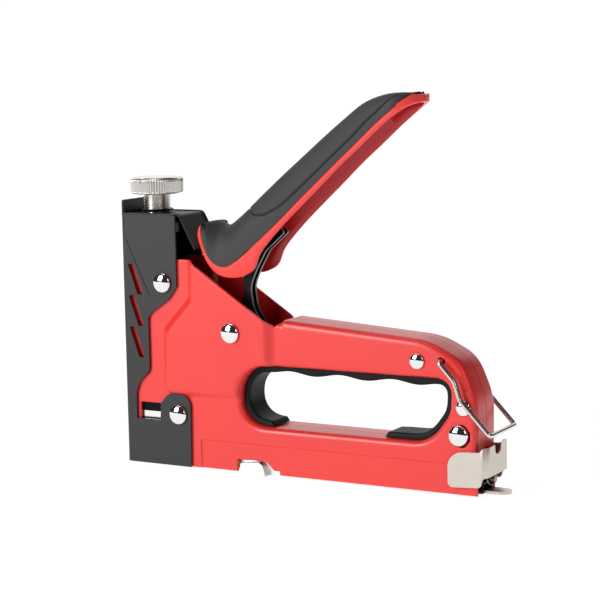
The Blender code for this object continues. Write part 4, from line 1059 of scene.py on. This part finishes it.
def sweep_groups():
    """Floor and wall in one sheet 2.4 m wide, joined by a quarter circle of 0.5 m, and a square
    apron 9 m wide that carries the floor on, half a millimetre lower."""
    turn = np.linspace(-math.pi / 2, 0, 24)
    back = np.array([0.48, -0.87]) / np.linalg.norm([0.48, -0.87])
    run = np.concatenate([[-0.9, 0.2], 0.9 + 0.5 * np.cos(turn), [1.4, 1.4]])
    rise = np.concatenate([[0, 0], 0.5 + 0.5 * np.sin(turn), [0.8, 1.3]])
    side = np.array([-1.2, 1.2])
    across = np.array([back[1], -back[0]])
    x = -back[0] * run[:, None] + across[0] * side
    y = -back[1] * run[:, None] + across[1] * side
    points = np.stack([x, y, np.broadcast_to(rise[:, None], x.shape)], -1).reshape(-1, 3)
    apron = np.array([(-4.5, -4.5), (4.5, -4.5), (4.5, 4.5), (-4.5, 4.5)])
    apron = np.column_stack([apron, np.full(4, -0.0005)])
    faces = grid_faces(len(run), 2).tolist() + [[len(points) + i for i in range(4)]]
    return np.vstack([points, apron]), faces


points, faces = sweep_groups()
mesh = bpy.data.meshes.new("white_sweep")
mesh.from_pydata(points.tolist(), [], faces)
mesh.shade_smooth()
sweep = bpy.data.objects.new("white_sweep", mesh)
bpy.context.scene.collection.objects.link(sweep)
# Glows a little of itself, so that it stays even and pale right up to the horizon.
mesh.materials.append(surface("white paper sweep", {
    "Base Color": linear("#808080"), "Roughness": 0.9, "Specular IOR Level": 0.0,
    "Emission Color": (1, 1, 1, 1), "Emission Strength": 0.93})[0])


def soft_box(name, spot, target, size, power):
    """A white rectangular area light that faces a target."""
    lamp = bpy.data.lights.new(name, "AREA")
    lamp.shape, lamp.size, lamp.size_y, lamp.energy = "RECTANGLE", size[0], size[1], power
    holder = bpy.data.objects.new(name, lamp)
    bpy.context.scene.collection.objects.link(holder)
    holder.location = spot
    aim = np.array(target) - np.array(spot)
    holder.rotation_euler = Vector(aim.tolist()).to_track_quat("-Z", "Y").to_euler()


soft_box("key", (-0.75, -1.15, 0.66), (0, 0, 0.07), (0.6, 0.95), 18)
soft_box("side", (1.2, -0.9, 0.75), (0, 0, 0.07), (0.14, 0.7), 2.2)
soft_box("top", (-0.3, 0.1, 1.4), (0, 0, 0), (0.8, 0.8), 4)

world = bpy.data.worlds.new("studio")
bpy.context.scene.world = world
world.use_nodes = True
world.node_tree.nodes["Background"].inputs["Color"].default_value = (0.5, 0.5, 0.5, 1)
world.node_tree.nodes["Background"].inputs["Strength"].default_value = 0.06
bpy.context.scene.view_settings.view_transform = "Standard"

camera = bpy.data.objects.new("camera", bpy.data.cameras.new("camera"))
bpy.context.scene.collection.objects.link(camera)
camera.data.sensor_width = 36.0
camera.data.lens = 36.0 * 1850 / 600
camera.data.clip_end = 20
RIGHT = (0.87564, 0.48263, -0.01799)
UP = (-0.04823, 0.12445, 0.99105)
BACK = (0.48055, -0.86694, 0.13226)
turn = Matrix((RIGHT, UP, BACK)).transposed().to_4x4()
turn.translation = (0.3462, -0.6353, 0.1677)
camera.matrix_world = turn
bpy.context.scene.camera = camera
